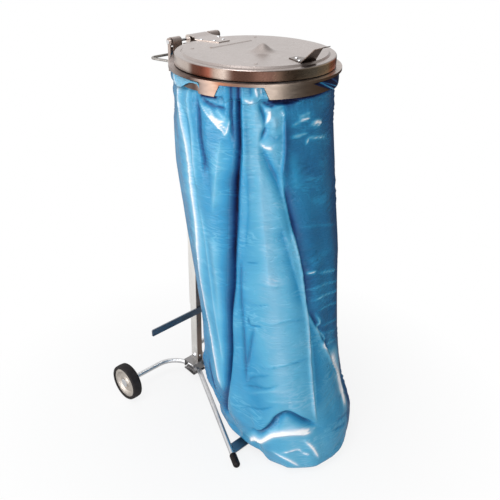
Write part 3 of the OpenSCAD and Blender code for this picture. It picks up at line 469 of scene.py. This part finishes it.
# How much wider than the bore the bag is, and its swells, at parts of its height, as in part.scad. A
# program outside this script fitted the swells, and the rounding's rows at 170, 200, 300 and 320 degrees,
# to the bag's outline in the photo.
GIRTH = [(0, 13), (0.1, 15), (0.2, 10), (0.32, 3), (0.45, 4), (0.6, 8), (0.8, 9), (0.95, 6), (0.985, 2),
         (1, 0)]
LEFT_SWELL = [(0, 9), (0.045, -12), (0.09, -15), (0.13, -11), (0.18, -6), (0.23, -2), (0.3, -1),
              (0.375, -4), (0.465, -3), (0.575, -2), (0.685, 0), (0.795, 4), (0.905, 4), (1, -4)]
RIGHT_SWELL = [(0, -13), (0.045, -10), (0.09, -3), (0.13, -8), (0.18, -15), (0.23, -13), (0.3, -7),
               (0.375, -2), (0.465, 2), (0.575, 5), (0.685, 1), (0.795, -3), (0.905, -6), (1, -3)]
# Rounding in to the bottom, as in part.scad: angle, height, depth
ROUNDING = [(0, 40, 30), (90, 40, 30), (135, 60, 50), (170, 200, 71), (200, 200, 71), (225, 60, 60),
            (250, 35, 40), (280, 35, 40), (300, 60, 95), (320, 60, 80), (345, 50, 40), (360, 40, 30)]
# Where the light front turns into the shaded side: height, angle
SHADE_EDGE = [(0, 292), (84, 291), (121, 300), (196, 293), (283, 278), (363, 266), (436, 256), (503, 254),
              (579, 251), (653, 247), (708, 243), (771, 243), (905, 244), (935, 245)]
# Tone of the plain film round the front, as painted sheen and shade: angle, then 0 for full blue and 1 for
# nearly white
PLAIN_TONE = [(112, -0.1), (142, -0.2), (158, -0.1), (172, 0.1), (190, 0.05), (210, 0.06), (216, 0.16),
              (232, 0.34), (262, 0.15), (300, 0.0), (338, -0.1), (360, 0), (472, 0)]
# Tone of the film on the shaded side, as painted shade: angle, then tone
SIDE_TONE = [(236, -0.2), (262, -0.24), (285, -0.3), (298, -0.55), (315, -0.6), (338, -0.2), (350, 0)]
# Film colours by tone, as linear light, from the near black of the deepest painted shade to the white of
# painted highlights
FILM = [(-1.2, (0.008, 0.005, 0.026)), (-0.75, (0.012, 0.05, 0.17)), (-0.4, (0.018, 0.12, 0.28)),
        (0.0, (0.03, 0.27, 0.5)), (0.3, (0.1, 0.4, 0.61)), (0.6, (0.22, 0.5, 0.69)),
        (0.85, (0.46, 0.63, 0.78)), (1.2, (0.97, 0.98, 1.0))]
# A course that starts above OVER_HOOP goes on up to the flange; other ends fade over FADE or less. A fold
# whose first width is under WIDE_FOLD has a sharp crest.
OVER_HOOP, FADE, WIDE_FOLD = 930, 45, 9
# Folds: rise, less than nothing for a groove, then tone, width to the left or below and to the right or
# above, and the course as angles and heights. Most courses were read from the photo by eye and turned into
# angles and heights by a program outside this script.
# Their tones are painted shade in grooves and hollows, and painted highlights and glints on crests and
# shelves.
FOLDS = [
    # Left pleats
    (4, 1.05, 8, 9, [(156, 935), (164, 853), (170, 804), (173, 751), (173, 694), (173, 634), (172, 572),
        (167, 460), (166, 357), (171, 262), (173, 173)]),
    (10, -0.15, 8, 12, [(147, 232), (146, 196), (148, 165), (151, 128)]),
    (-3, -0.7, 2.5, 3, [(157, 226), (157, 180), (159, 130)]),
    (3, 0.5, 3, 3, [(172, 935), (174, 860), (178, 820), (178, 766), (179, 704)]),
    (-7, -0.8, 3, 7, [(181, 892), (184, 855), (185, 815), (187, 773), (187, 738)]),
    (-3, -0.2, 5, 3, [(158, 891), (172, 839), (176, 757), (177, 690), (176, 614)]),
    (3, 0.4, 2.5, 2.5, [(180, 647), (181, 586), (180, 502), (179, 413), (180, 325), (182, 266)]),
    (3, 0.3, 10, 12, [(190, 598), (187, 486), (183, 385), (181, 264), (178, 184)]),
    # Fan under the left tongue
    (4, 0.95, 2.5, 3, [(184, 887), (192, 866), (198, 849), (203, 840)]),
    (2, 0.6, 2.5, 2.5, [(197, 883), (202, 866), (207, 860)]),
    (2, 1.1, 2, 2, [(208, 860), (206, 837), (204, 826)]),
    (2, 0.4, 2.5, 3, [(192, 874), (198, 854), (205, 829)]),
    (2, 0.8, 2, 2, [(189, 880), (194, 873), (197, 862)]),
    (2, 1.2, 2, 3, [(194, 863), (200, 856), (206, 853)]),
    (3, 1.3, 2, 2, [(197, 857), (204, 845), (206, 838)]),
    (2, 1.1, 2, 2, [(198, 845), (203, 837), (204, 827)]),
    (-4, -0.9, 5, 2, [(186, 895), (194, 885), (201, 882), (206, 882)]),
    (4, 0.4, 7, 7, [(202, 820), (199, 771), (196, 714), (192, 653)]),
    (-3, -0.15, 9, 7, [(190, 790), (191, 715), (191, 667)]),
    # Main valley and the pleats beside it
    (0, -0.7, 5, 4, [(214, 935), (214, 855), (214, 804), (212, 750), (210, 694), (208, 634), (204, 540)]),
    (-17, -0.55, 7, 5, [(214, 935), (214, 855), (214, 804), (212, 750), (210, 694), (208, 634), (204, 555),
        (201, 488), (195, 406), (187, 273), (179, 178), (160, 77)]),
    (-4, -0.45, 17, 3, [(212, 760), (209, 694), (206, 612), (200, 487), (191, 357), (183, 221), (160, 77)]),
    (-8, -0.8, 2.5, 3, [(209, 935), (209, 883), (209, 859), (210, 821)]),
    (3, 0.15, 3, 3, [(212, 935), (212, 861)]),
    (5, 0.15, 4, 4, [(217, 935), (217, 855), (217, 804), (217, 750)]),
    (2, 0.5, 1.5, 1.5, [(209, 671), (207, 601), (204, 548)]),
    (-4, -0.4, 4, 3, [(202, 244), (205, 376), (207, 480), (210, 551)]),
    (-3, -0.3, 3, 3, [(198, 904), (204, 903), (199, 895)]),
    # Front panel
    (3, 0.2, 10, 16, [(223, 896), (226, 823), (227, 719), (228, 607), (229, 492)]),
    (1, -0.2, 4, 4, [(219, 882), (219, 782), (218, 674), (214, 581)]),
    (0, 0.18, 26, 30, [(227, 538), (231, 421), (230, 293), (227, 216)]),
    (3, 1.1, 3, 3, [(217, 904), (222, 897), (223, 904)]),
    (3, 1.2, 2, 2, [(224, 935), (226, 908)]),
    (2, 0.9, 1.5, 1.5, [(227, 935), (229, 910)]),
    (-3, -0.5, 3, 3, [(221, 935), (222, 908)]),
    (-3, -0.5, 2, 3, [(229, 935), (230, 905)]),
    (-9, -1, 3, 4, [(227, 893), (230, 873), (231, 848), (228, 820)]),
    (-8, -0.45, 12, 5, [(228, 817), (232, 778), (238, 738), (243, 698), (247, 654), (250, 611)]),
    (-2, -0.25, 16, 4, [(239, 644), (245, 559), (250, 489), (253, 441)]),
    # Flap under the front tongue
    (-6, -1.1, 3, 3, [(229, 899), (233, 892), (238, 886)]),
    (4, 0.5, 3, 2, [(230, 871), (232, 883), (238, 887), (246, 890), (256, 892), (260, 898)]),
    (-7, -2, 5, 5, [(233, 899), (239, 896), (247, 895), (256, 898)]),
    (2, 1.1, 1.5, 1.5, [(231, 881), (234, 878), (234, 869), (232, 857)]),
    (2, 0.9, 1.5, 1.5, [(228, 816), (231, 808), (235, 808)]),
    (4, 0.3, 8, 8, [(236, 871), (238, 847)]),
    (3, 0.9, 2.5, 2.5, [(234, 880), (232, 861), (230, 841)]),
    (2, 0.8, 2, 2, [(242, 879), (244, 869)]),
    (1, -0.25, 5, 5, [(232, 835), (237, 823), (242, 834)]),
    (2, 0.85, 2, 2, [(228, 814), (231, 807), (236, 804)]),
    (0, -0.35, 3, 13, [(230, 800), (234, 770), (239, 738)]),
    (5, -0.3, 2, 14, [(244, 875), (244, 839), (244, 803), (242, 765), (241, 740)]),
    # Fold edge between the front and the right
    (5, 0.6, 4, 2, [(241, 736), (242, 714), (245, 675), (248, 626), (251, 579), (253, 540), (254, 503),
        (256, 436), (257, 356), (256, 276), (255, 195), (255, 143)]),
    (-5, -0.5, 2, 10, [(243, 728), (246, 679), (250, 620), (253, 568), (256, 509), (257, 435)]),
    (0, -0.3, 3, 16, [(258, 400), (261, 324), (260, 231), (258, 167)]),
    (4, 0.3, 3, 2, [(256, 428), (266, 362), (278, 282), (293, 196)]),
    (-4, -0.5, 2, 7, [(258, 429), (268, 363), (280, 288), (293, 220)]),
    # Right side
    (1, 0.3, 12, 12, [(248, 800), (251, 758), (252, 716)]),
    (2, 1.2, 2, 2, [(256, 858), (264, 858)]),
    (2, 1.5, 3, 3, [(267, 840), (271, 845), (277, 840)]),
    (2, 0.8, 2, 2, [(249, 827), (263, 828)]),
    (2, 1.2, 2, 2, [(262, 819), (283, 807)]),
    (2, 1.4, 2.5, 2.5, [(261, 807), (263, 816)]),
    (2, 0.7, 2, 2, [(254, 859), (258, 865), (265, 869)]),
    (2, 0.7, 2, 2, [(249, 848), (255, 854), (264, 858)]),
    (2, 1.1, 2.5, 2.5, [(264, 842), (270, 848), (276, 842), (269, 836)]),
    (2, 0.5, 2, 2, [(248, 826), (257, 825)]),
    (2, 0.25, 2, 2, [(258, 735), (276, 724)]),
    (2, 0.25, 2, 2, [(254, 635), (272, 622), (296, 598)]),
    (2, 1.7, 2.5, 2.5, [(257, 523), (266, 520)]),
    (2, 0.8, 2, 2, [(268, 514), (295, 489)]),
    (2, 0.5, 1.5, 1.5, [(257, 481), (275, 477), (302, 452)]),
    (2, 0.7, 1.5, 1.5, [(260, 452), (276, 448), (303, 427)]),
    (2, 0.6, 1.5, 1.5, [(266, 422), (278, 417), (299, 397)]),
    (2, 0.6, 1.5, 1.5, [(270, 377), (280, 370), (299, 354)]),
    (2, 0.5, 1.5, 1.5, [(272, 355), (293, 332)]),
    (2, 0.6, 1.5, 1.5, [(275, 320), (295, 303)]),
    (3, 1.2, 3, 3, [(264, 416), (268, 390), (265, 377), (273, 340), (271, 324), (282, 288)]),
    (3, 1.1, 3, 9, [(275, 304), (288, 236), (299, 160), (290, 120)]),
    (-3, -0.8, 2, 2, [(280, 267), (286, 232), (293, 196)]),
    (-2, -0.7, 2, 2, [(289, 150), (296, 146), (304, 140)]),
    (-2, -0.4, 2, 2, [(275, 114), (296, 98)]),
    (-2, -0.4, 2, 2, [(268, 98), (288, 85)]),
    (0, 1.35, 10, 32, [(282, 292), (288, 250), (293, 205), (296, 160), (296, 112)]),
    # Crimps on the lower front
    (-3, -0.5, 2, 2, [(210, 414), (211, 391), (221, 395)]),
    (-3, -0.35, 4, 4, [(214, 389), (209, 335), (204, 276)]),
    (2, -0.25, 2, 2, [(203, 243), (209, 260), (224, 286)]),
    (2.5, -0.3, 2, 2, [(215, 291), (229, 301), (254, 310)]),
    (-2, -0.25, 1.5, 1.5, [(214, 552), (219, 552), (223, 553)]),
    (2, -0.2, 2, 2, [(219, 501), (226, 500), (233, 501), (236, 510)]),
    (-2, -0.25, 1.5, 1.5, [(213, 446), (220, 447), (227, 455)]),
    (2, -0.2, 2, 2, [(227, 408), (240, 416), (254, 411)]),
    (-3, -0.3, 2, 2, [(200, 228), (213, 238), (228, 254)]),
    (2, 0.25, 2, 2, [(204, 213), (220, 238), (236, 232)]),
    (2, 0.25, 2, 2, [(216, 213), (233, 209), (250, 204)]),
    (-3, -0.3, 2, 2, [(197, 166), (213, 187), (221, 198)]),
    # Hollow, shelf and highlights at the bottom
    (-13, -0.75, 12, 3, [(198, 96), (215, 140), (223, 170), (232, 181), (243, 159), (254, 133)]),
    (8, 1.9, 5, 7, [(187, 36), (205, 88), (218, 122), (234, 129), (249, 122)]),
    (3, 0.8, 1.5, 1.5, [(224, 133), (238, 134), (255, 126)]),
    (3, 1.3, 3, 3, [(242, 104), (247, 83), (252, 45)]),
    (3, 1.3, 3, 3, [(215, 70), (226, 57), (235, 31)]),
    (2, 1.1, 2, 2, [(222, 74), (235, 82), (239, 71)]),
    (2, 1.2, 2, 2, [(239, 71), (244, 63)]),
    (0, 0.7, 4, 3, [(183, 10), (192, 10), (204, 18)]),
    # Rear and far side, hidden from the front
    (-5, -0.15, 14, 14, [(316, 878), (310, 90)]),
    (-7, -0.2, 14, 14, [(345, 878), (338, 90)]),
    (-5, -0.2, 16, 16, [(380, 878), (374, 90)]),
    (-7, -0.3, 14, 14, [(412, 878), (406, 90)]),
    (-5, -0.2, 14, 14, [(444, 878), (438, 90)]),
    (-6, -0.2, 14, 14, [(140, 878), (132, 90)]),
    (3, 0.5, 9, 9, [(358, 890), (364, 620), (360, 330), (366, 120)]),
    (3, 0.45, 9, 9, [(390, 890), (396, 700), (393, 420), (398, 110)]),
    (3, 0.5, 9, 9, [(426, 890), (430, 560), (422, 260)]),
    (3, 0.45, 9, 9, [(456, 880), (453, 640), (458, 380), (452, 110)]),
    (4, 0.4, 8, 12, [(329, 890), (324, 640), (327, 380), (320, 130)]),
]
# Painted highlight streaks on the right flap, which is painted dark as shade: angle at its root, drift in
# degrees up to its edge, tone
FLAP_STREAKS = [(290, 4, 2.3), (298, -3, 1.6), (305, 3, 1.1), (316, 5, 1.5), (327, -4, 1.2)]


def smooth(t):
    """0 up to 0, 1 from 1 on, and a soft step between."""
    t = np.clip(t, 0, 1)
    return t * t * (3 - 2 * t)


def between(angle, low, high, rise, fall):
    """1 between two angles, with soft ends of so many degrees inside them."""
    return smooth((angle - low) / rise) * smooth((high - angle) / fall)


def turn(a, b):
    """Degrees from angle b round to angle a, between -180 and 180."""
    return (a - b + 180) % 360 - 180


def table(x, rows, column=1):
    """The value at x between the rows of a table that starts with x."""
    rows = np.array(rows, float)
    return np.interp(x, rows[:, 0], rows[:, column])


def bag_floor(y):
    """Height of the bag's underside: over the legs and feet at the back, on the floor in front."""
    tilt = math.asin((AXLE_Z - FOOT_R) / LEG_REACH)
    foot_y = AXLE_BACK - LEG_REACH * math.cos(tilt)
    over = AXLE_Z - (AXLE_BACK - np.maximum(y, foot_y)) * math.tan(tilt) + LEG_R / math.cos(tilt)
    rise = np.maximum(over, 2 * FOOT_R) + (OVER_GAP - FLOOR_GAP)
    return FLOOR_GAP + rise * smooth((y - foot_y + RISE_AHEAD) / RISE_LENGTH)


def wall_point(angle, z, push):
    """Place of the wall at an angle and height, pushed out by so many millimetres."""
    h = np.clip((z - BEND_Z) / (BAG_TOP - BEND_Z), 0, 1)
    radius = BORE_R + table(h, GIRTH) + push
    left = np.exp(-(turn(angle, LEFT_AT) / SWELL_REACH) ** 2)
    right = np.exp(-(turn(angle, RIGHT_AT) / SWELL_REACH) ** 2)
    radius = radius + (table(z / BAG_TOP, LEFT_SWELL) * left + table(z / BAG_TOP, RIGHT_SWELL) * right)
    height, depth = table(angle % 360, ROUNDING), table(angle % 360, ROUNDING, 2)
    t = np.clip((height - z) / height, 0, 1)
    radius = radius - depth * (1 - np.sqrt(np.maximum(1 - t * t, 0)))
    # Near its top the wall stays inside the bore
    radius = np.minimum(radius, BORE_R + 2 * (BAG_TOP - z) + 0.3)
    x = LEAN * (1 - h) + radius * np.cos(np.radians(angle))
    y = -SLUMP * (1 - h) ** 1.8 + radius * np.sin(np.radians(angle))
    low = bag_floor(y)
    return np.stack([x, y, low + z * (BAG_TOP - low) / BAG_TOP], -1)


def spline(points, steps=6):
    """Places along a smooth curve through the points."""
    p = np.array(points, float)
    p = np.concatenate([2 * p[:1] - p[1:2], p, 2 * p[-1:] - p[-2:-1]])
    t = np.linspace(0, 1, steps, endpoint=False)[:, None]
    parts = []
    for a, b, c, d in zip(p, p[1:], p[2:], p[3:]):
        square, cube = 2 * a - 5 * b + 4 * c - d, 3 * b - a - 3 * c + d
        parts.append(b + 0.5 * ((c - a) * t + square * t**2 + cube * t**3))
    return np.concatenate(parts + [p[-2:-1]])


def fold_share(s, z, course, left, right):
    """How much of a fold there is at each place: all on its course, less sideways and to its ends."""
    line = spline([(math.radians(a) * BORE_R, h) for a, h in course])
    best, side, along = np.full(s.shape, 1e9), np.zeros(s.shape), np.zeros(s.shape)
    done = 0.0
    for (s0, z0), (s1, z1) in zip(line, line[1:]):
        ds, dz = s1 - s0, z1 - z0
        length = math.hypot(ds, dz)
        t = np.clip(((s - s0) * ds + (z - z0) * dz) / length**2, 0, 1)
        gap_s, gap_z = s - s0 - t * ds, z - z0 - t * dz
        d = np.hypot(gap_s, gap_z)
        near = d < best
        best = np.where(near, d, best)
        side = np.where(near, ds * gap_z - dz * gap_s, side)
        along = np.where(near, done + t * length, along)
        done += length
    fade = min(FADE, done / 2.5)
    ends = smooth((done - along) / fade + 0.3)
    if course[0][1] < OVER_HOOP:
        ends = ends * smooth(along / fade + 0.3)
    power = 1.1 if left < WIDE_FOLD else 1.5
    return ends * np.exp(-(best / np.where(side > 0, right, left)) ** power)


def folds_at(angle, z):
    """Rise and tone that the folds give the film at each angle and height."""
    s = np.radians(angle) * BORE_R
    rise, tone = np.zeros_like(s), np.zeros_like(s)
    for fold_rise, fold_tone, left, right, course in FOLDS:
        points = np.array([(math.radians(a) * BORE_R, h) for a, h in course])
        reach = 3.5 * max(left, right)
        low, high = points.min(0) - reach, points.max(0) + reach
        near = (s > low[0]) & (s < high[0]) & (z > low[1]) & (z < high[1])
        share = fold_share(s[near], z[near], course, left, right)
        rise[near] += fold_rise * share
        tone[near] += fold_tone * share
    return rise, tone


def plain_tone(angle, z):
    """Tone of the film between its folds: painted sheen, light in front, and painted shade, dark on the
    shaded side.
    """
    side = smooth((angle - table(z, SHADE_EDGE)) / 5 + 0.5)
    return table(angle, PLAIN_TONE) * (1 - side) + table(angle, SIDE_TONE) * side


def waves(s, z, rng, count, length, slope, spread):
    """Sum of so many seeded ripples of about that length, at the slope, give or take the spread."""
    total = np.zeros_like(s)
    for _ in range(count):
        turned = slope + rng.uniform(-spread, spread)
        k = 2 * math.pi / (length * rng.uniform(0.7, 1.5))
        along = s * math.cos(turned) + z * math.sin(turned)
        total += np.sin(k * along + rng.uniform(0, 7)) / count ** 0.5
    return total


def creases(s, z, rng, count, length, slope, spread):
    """As waves, with sharp crests between wide hollows."""
    return 1 - 2 * np.abs(waves(s, z, rng, count, length, slope, spread))


def small_folds(angle, z):
    """Fine folds that no single line describes: long soft folds, and crimps across them in patches."""
    s = np.radians(angle) * BORE_R
    rng = np.random.default_rng(7)
    patches = smooth(0.3 + 0.7 * waves(s, z, rng, 6, 110, 0.7, 1.6))
    long_folds = waves(s, z, rng, 6, 60, 0.12, 0.08) * 1.2
    crimps = creases(s, z, rng, 7, 15, math.pi / 2 - 0.1, 0.24) * 0.65
    slanted = creases(s, z, rng, 5, 24, math.pi / 2 + 0.3, 0.25) * 0.9 * smooth((angle - 252) / 10)
    below = BAG_TOP - z
    gathers = creases(s, z, rng, 4, 19, 0.0, 0.12) * 0.5 * np.exp(-below / 35) * smooth(below / 12)
    return long_folds + (crimps + slanted) * patches + gathers


def film_look():
    """Polythene film: its colour follows the tone, and its noise runs on the unrolled wall."""
    look = Look("film", (0.03, 0.25, 0.48), 0.2)
    look.shader.inputs["IOR"].default_value = 1.46
    look.place = look.add("ShaderNodeUVMap", uv_map="wall").outputs["UV"]
    crimp = look.noise(1.0, 2, (17, 62, 1), 1.8)
    cloud = look.noise(1.0, 3, (9, 14, 1))
    dents = look.noise(1.0, 2, (26, 40, 1), 0.6)
    patches = look.ramp(look.noise(1.0, 2, (12, 16, 1)), 0.5, 0.62, 0, 1)
    # Sharp crests where the crimp noise passes its middle
    crest = look.compute("ABSOLUTE", look.compute("SUBTRACT", crimp, 0.5))
    crest = look.ramp(crest, 0, 0.09, 1, 0)
    glints = look.compute("MULTIPLY", crest, patches)
    tone = look.add("ShaderNodeAttribute", attribute_name="tone").outputs["Fac"]
    level = look.compute("ADD", tone, look.ramp(cloud, 0.3, 0.7, -0.08, 0.08))
    level = look.compute("ADD", level, look.ramp(glints, 0, 1, 0, 0.2))
    low, high = FILM[0][0], FILM[-1][0]
    colors = look.add("ShaderNodeValToRGB")
    fill_stops(colors, [((at - low) / (high - low), color) for at, color in FILM])
    look.join(look.ramp(level, low, high, 0, 1), colors.inputs["Fac"])
    look.paint(colors.outputs["Color"])
    look.rough(tone, -1.0, 0.0, 0.5, 0.2)
    look.join(look.ramp(tone, -0.9, 0.1, 0.12, 0.42), look.shader.inputs["Specular IOR Level"])
    look.bump(crest, 0.45, 0.0009, look.bump(dents, 0.3, 0.0016))
    return look.material


def grid_mesh(name, points):
    """A mesh of quads over rows of points, each row closed into a ring."""
    rows, cols = points.shape[:2]
    index = np.arange(rows * cols).reshape(rows, cols)
    index = np.concatenate([index, index[:, :1]], 1)
    quads = np.stack([index[:-1, :-1], index[:-1, 1:], index[1:, 1:], index[1:, :-1]], -1).reshape(-1, 4)
    place = points.reshape(-1, 3) * MM
    place[:, 1] += AXIS_Y * MM
    mesh = bpy.data.meshes.new(name)
    mesh.from_pydata(place.tolist(), [], quads.tolist())
    mesh.polygons.foreach_set("use_smooth", np.ones(len(quads), bool))
    piece = bpy.data.objects.new(name, mesh)
    bpy.context.collection.objects.link(piece)
    return piece


def close_bottom(piece, count):
    """Closes the wall's lowest ring with smaller rings that lie on the bag's floor."""
    def on_floor(p):
        return p.x, p.y, float(bag_floor(np.array(p.y / MM - AXIS_Y))) * MM

    mesh = bmesh.new()
    mesh.from_mesh(piece.data)
    mesh.verts.ensure_lookup_table()
    last = ring = [mesh.verts[i] for i in range(count)]
    middle = sum((v.co for v in ring), Vector()) / count
    for share in (0.8, 0.6, 0.4, 0.2):
        inner = [mesh.verts.new(on_floor(middle + (v.co - middle) * share)) for v in ring]
        for i in range(count):
            k = (i + 1) % count
            mesh.faces.new((last[i], inner[i], inner[k], last[k])).smooth = True
        last = inner
    hub = mesh.verts.new(on_floor(middle))
    for i in range(count):
        mesh.faces.new((last[i], hub, last[(i + 1) % count])).smooth = True
    bmesh.ops.recalc_face_normals(mesh, faces=mesh.faces)
    mesh.to_mesh(piece.data)
    mesh.free()


def set_layers(piece, tone, s, z):
    """Stores the tone on each vertex, and the unrolled wall as a UV map in metres."""
    mesh = piece.data
    layer = mesh.attributes.new("tone", "FLOAT", "POINT")
    layer.data.foreach_set("value", tone.ravel().astype(np.float32))
    uv = mesh.uv_layers.new(name="wall")
    loops = np.empty(len(mesh.loops), int)
    mesh.loops.foreach_get("vertex_index", loops)
    uv.data.foreach_set("uv", np.stack([s.ravel()[loops] * MM, z.ravel()[loops] * MM], 1).ravel())


def free_share(angle, spare=2.5):
    """1 where no tongue holds the film, 0 behind a tongue and so many degrees beside it."""
    held = [smooth((half + spare - np.abs(turn(angle, middle))) / 2) for middle, half in TONGUES]
    return 1 - np.max(held, 0)


def front_share(angle):
    """1 round the seen front, 0 at the rear."""
    return between(angle, *SEEN_FRONT)


def wall_push(angle, z):
    """How far folds push the wall out; near the top it also follows the film outside the hoop."""
    below = BAG_TOP - z
    rise, _ = folds_at(angle, z)
    folded = (rise + small_folds(angle, z)) * smooth(z / 30) * smooth(below / 10)
    outside = ROUND_HOOP * front_share(angle) * free_share(angle)
    return folded + outside * smooth((z - 850) / 32) * smooth(below / 8)


def flap_shares(angle):
    """1 where the left flap of film is turned up, and 1 where the right one is."""
    return between(angle, *LEFT_FLAP), between(angle, *RIGHT_FLAP)


def hem_edge(angle):
    """Height of the film's edge outside the hoop: higher over the hoop's arms and at the left flap."""
    left_flap, right_flap = flap_shares(angle)
    arms = smooth((ARMS_HALF - np.abs(turn(angle, ARMS_AT))) / 3)
    hang = (HANG + RUFFLE * np.sin(0.35 * angle)) * free_share(angle) * front_share(angle)
    edge = HEM_LOW - hang * (1 - (left_flap + right_flap)) + ARMS_RAISE * arms
    return edge + left_flap * (LEFT_RAISE * smooth((angle - 163) / 17) - 1) - 4.5 * right_flap


def outside_rows(angle, edge):
    """Rows of the film down the hoop's outside to its edge, where it joins the wall in front."""
    free, front = free_share(angle), front_share(angle)
    flap = sum(flap_shares(angle))
    # Looser towards both ends of the seen front
    loose = 4 * smooth((168 - angle) / 12) + 4 * smooth((angle - 311) / 5)
    wall = wall_point(angle, edge, wall_push(angle, edge))
    wall_r = np.hypot(wall[:, 0], wall[:, 1]) + 0.5
    rows = []
    for share in np.linspace(0, 1, HEM_ROWS):
        z = OUTSIDE_Z + (edge - OUTSIDE_Z) * share
        rise, _ = folds_at(angle, z)
        bulge = np.clip(PLAIN_BULGE + 0.45 * rise + loose * math.sin(3 * share), 0, MOST_BULGE)
        bulge = bulge * free * front * smooth(share * 5)
        joined = smooth((share - 0.55) / 0.45) * free * front * (1 - np.minimum(flap, 1))
        radius = (HEM_R + bulge) * (1 - joined) + wall_r * joined
        rows.append((angle, np.where(z > HEM_LOW - 1, np.maximum(radius, HEM_R), radius), z))
    return rows


def flap_rows(angle, edge, low_r):
    """Rows of the film's edge turned up as a flap over a tongue; elsewhere they lie at the edge."""
    left_flap, right_flap = flap_shares(angle)
    flap = left_flap + right_flap
    rows = []
    for share in np.linspace(0.1, 1, FLAP_ROWS):
        up = max(share - 0.2, 0) / 0.8
        radius = FLAP_R + 1.2 * math.sin(3 * share)
        rise = (FLAP_TOP - edge) * up * flap - 0.8 * math.sin(math.pi * min(share / 0.2, 1))
        radius = low_r + (radius - low_r) * flap * smooth(share / 0.25)
        rows.append((angle + RIGHT_LEAN * up * right_flap, radius, edge + rise))
    return rows


def hem_tone(angle, z):
    """Tone of the film at the hoop: painted shadow, dark at the top under the flange, with a light left
    flap and a dark right flap of painted shade with painted highlight streaks.
    """
    left_flap, right_flap = flap_shares(angle)
    tone = plain_tone(angle, z) + folds_at(np.broadcast_to(angle, z.shape), z)[1]
    tone = tone - 1.3 * smooth((z - 924) / 6)
    for row, share in zip(range(-FLAP_ROWS, 0), np.linspace(0.1, 1, FLAP_ROWS)):
        streaks = sum(bright * (1 - 0.6 * share) * np.exp(-((angle - root - drift * share**2) / 1.2) ** 2)
                      for root, drift, bright in FLAP_STREAKS)
        tone[row] = 0.45 * left_flap + (streaks - 1.15) * right_flap
    return tone


def hem_film(angle):
    """Points of the film over the hoop and down its outside, with their tones and heights."""
    edge = hem_edge(angle)
    rows = [(angle, np.full_like(angle, BORE_R - BORE_INSET), np.full_like(angle, z)) for z in BORE_ROWS]
    rows.append((angle, np.full_like(angle, BORE_R + OVER_OUT), np.full_like(angle, OVER_Z)))
    rows += outside_rows(angle, edge)
    rows += flap_rows(angle, edge, rows[-1][1])
    turned, radius, z = (np.array(values) for values in zip(*rows))
    place = np.stack([radius * np.cos(np.radians(turned)), radius * np.sin(np.radians(turned)), z], -1)
    return place, hem_tone(angle, z), z


def make_bag():
    """The bag as one mesh: its wall, the film over the hoop, and its bottom."""
    angle = np.concatenate([np.linspace(DENSE_FROM, DENSE_TO, DENSE_COLUMNS, endpoint=False),
                            np.linspace(DENSE_TO, DENSE_FROM + 360, REAR_COLUMNS, endpoint=False)])
    height = np.concatenate([np.linspace(0, FOOT_TOP, FOOT_ROWS, endpoint=False),
                             np.linspace(FOOT_TOP, BAG_TOP, WALL_ROWS)])
    angles, heights = np.meshgrid(angle, height)
    wall = wall_point(angles, heights, wall_push(angles, heights))
    tone = plain_tone(angles, heights) + folds_at(angles, heights)[1]
    under_tongue = (1 - free_share(angles, -SHADE_INSET)) * smooth((heights - SHADE_LOW) / 5)
    tone = tone - TONGUE_SHADE * under_tongue
    hem, top_tone, top_heights = hem_film(angle)
    bag = grid_mesh("refuse_bag_film", np.concatenate([wall, hem]))
    tone = np.clip(np.concatenate([tone, top_tone]), FILM[0][0], FILM[-1][0])
    heights = np.concatenate([heights, top_heights])
    set_layers(bag, tone, np.radians(np.broadcast_to(angle, heights.shape)) * BORE_R, heights)
    close_bottom(bag, len(angle))
    bag.data.materials.append(film_look())
    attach(bag, "stand")
    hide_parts("refuse_bag")


make_camera()
make_world()
make_stage()
for lamp in LAMPS:
    area_light(*lamp)
paint_nodes()
make_bag()
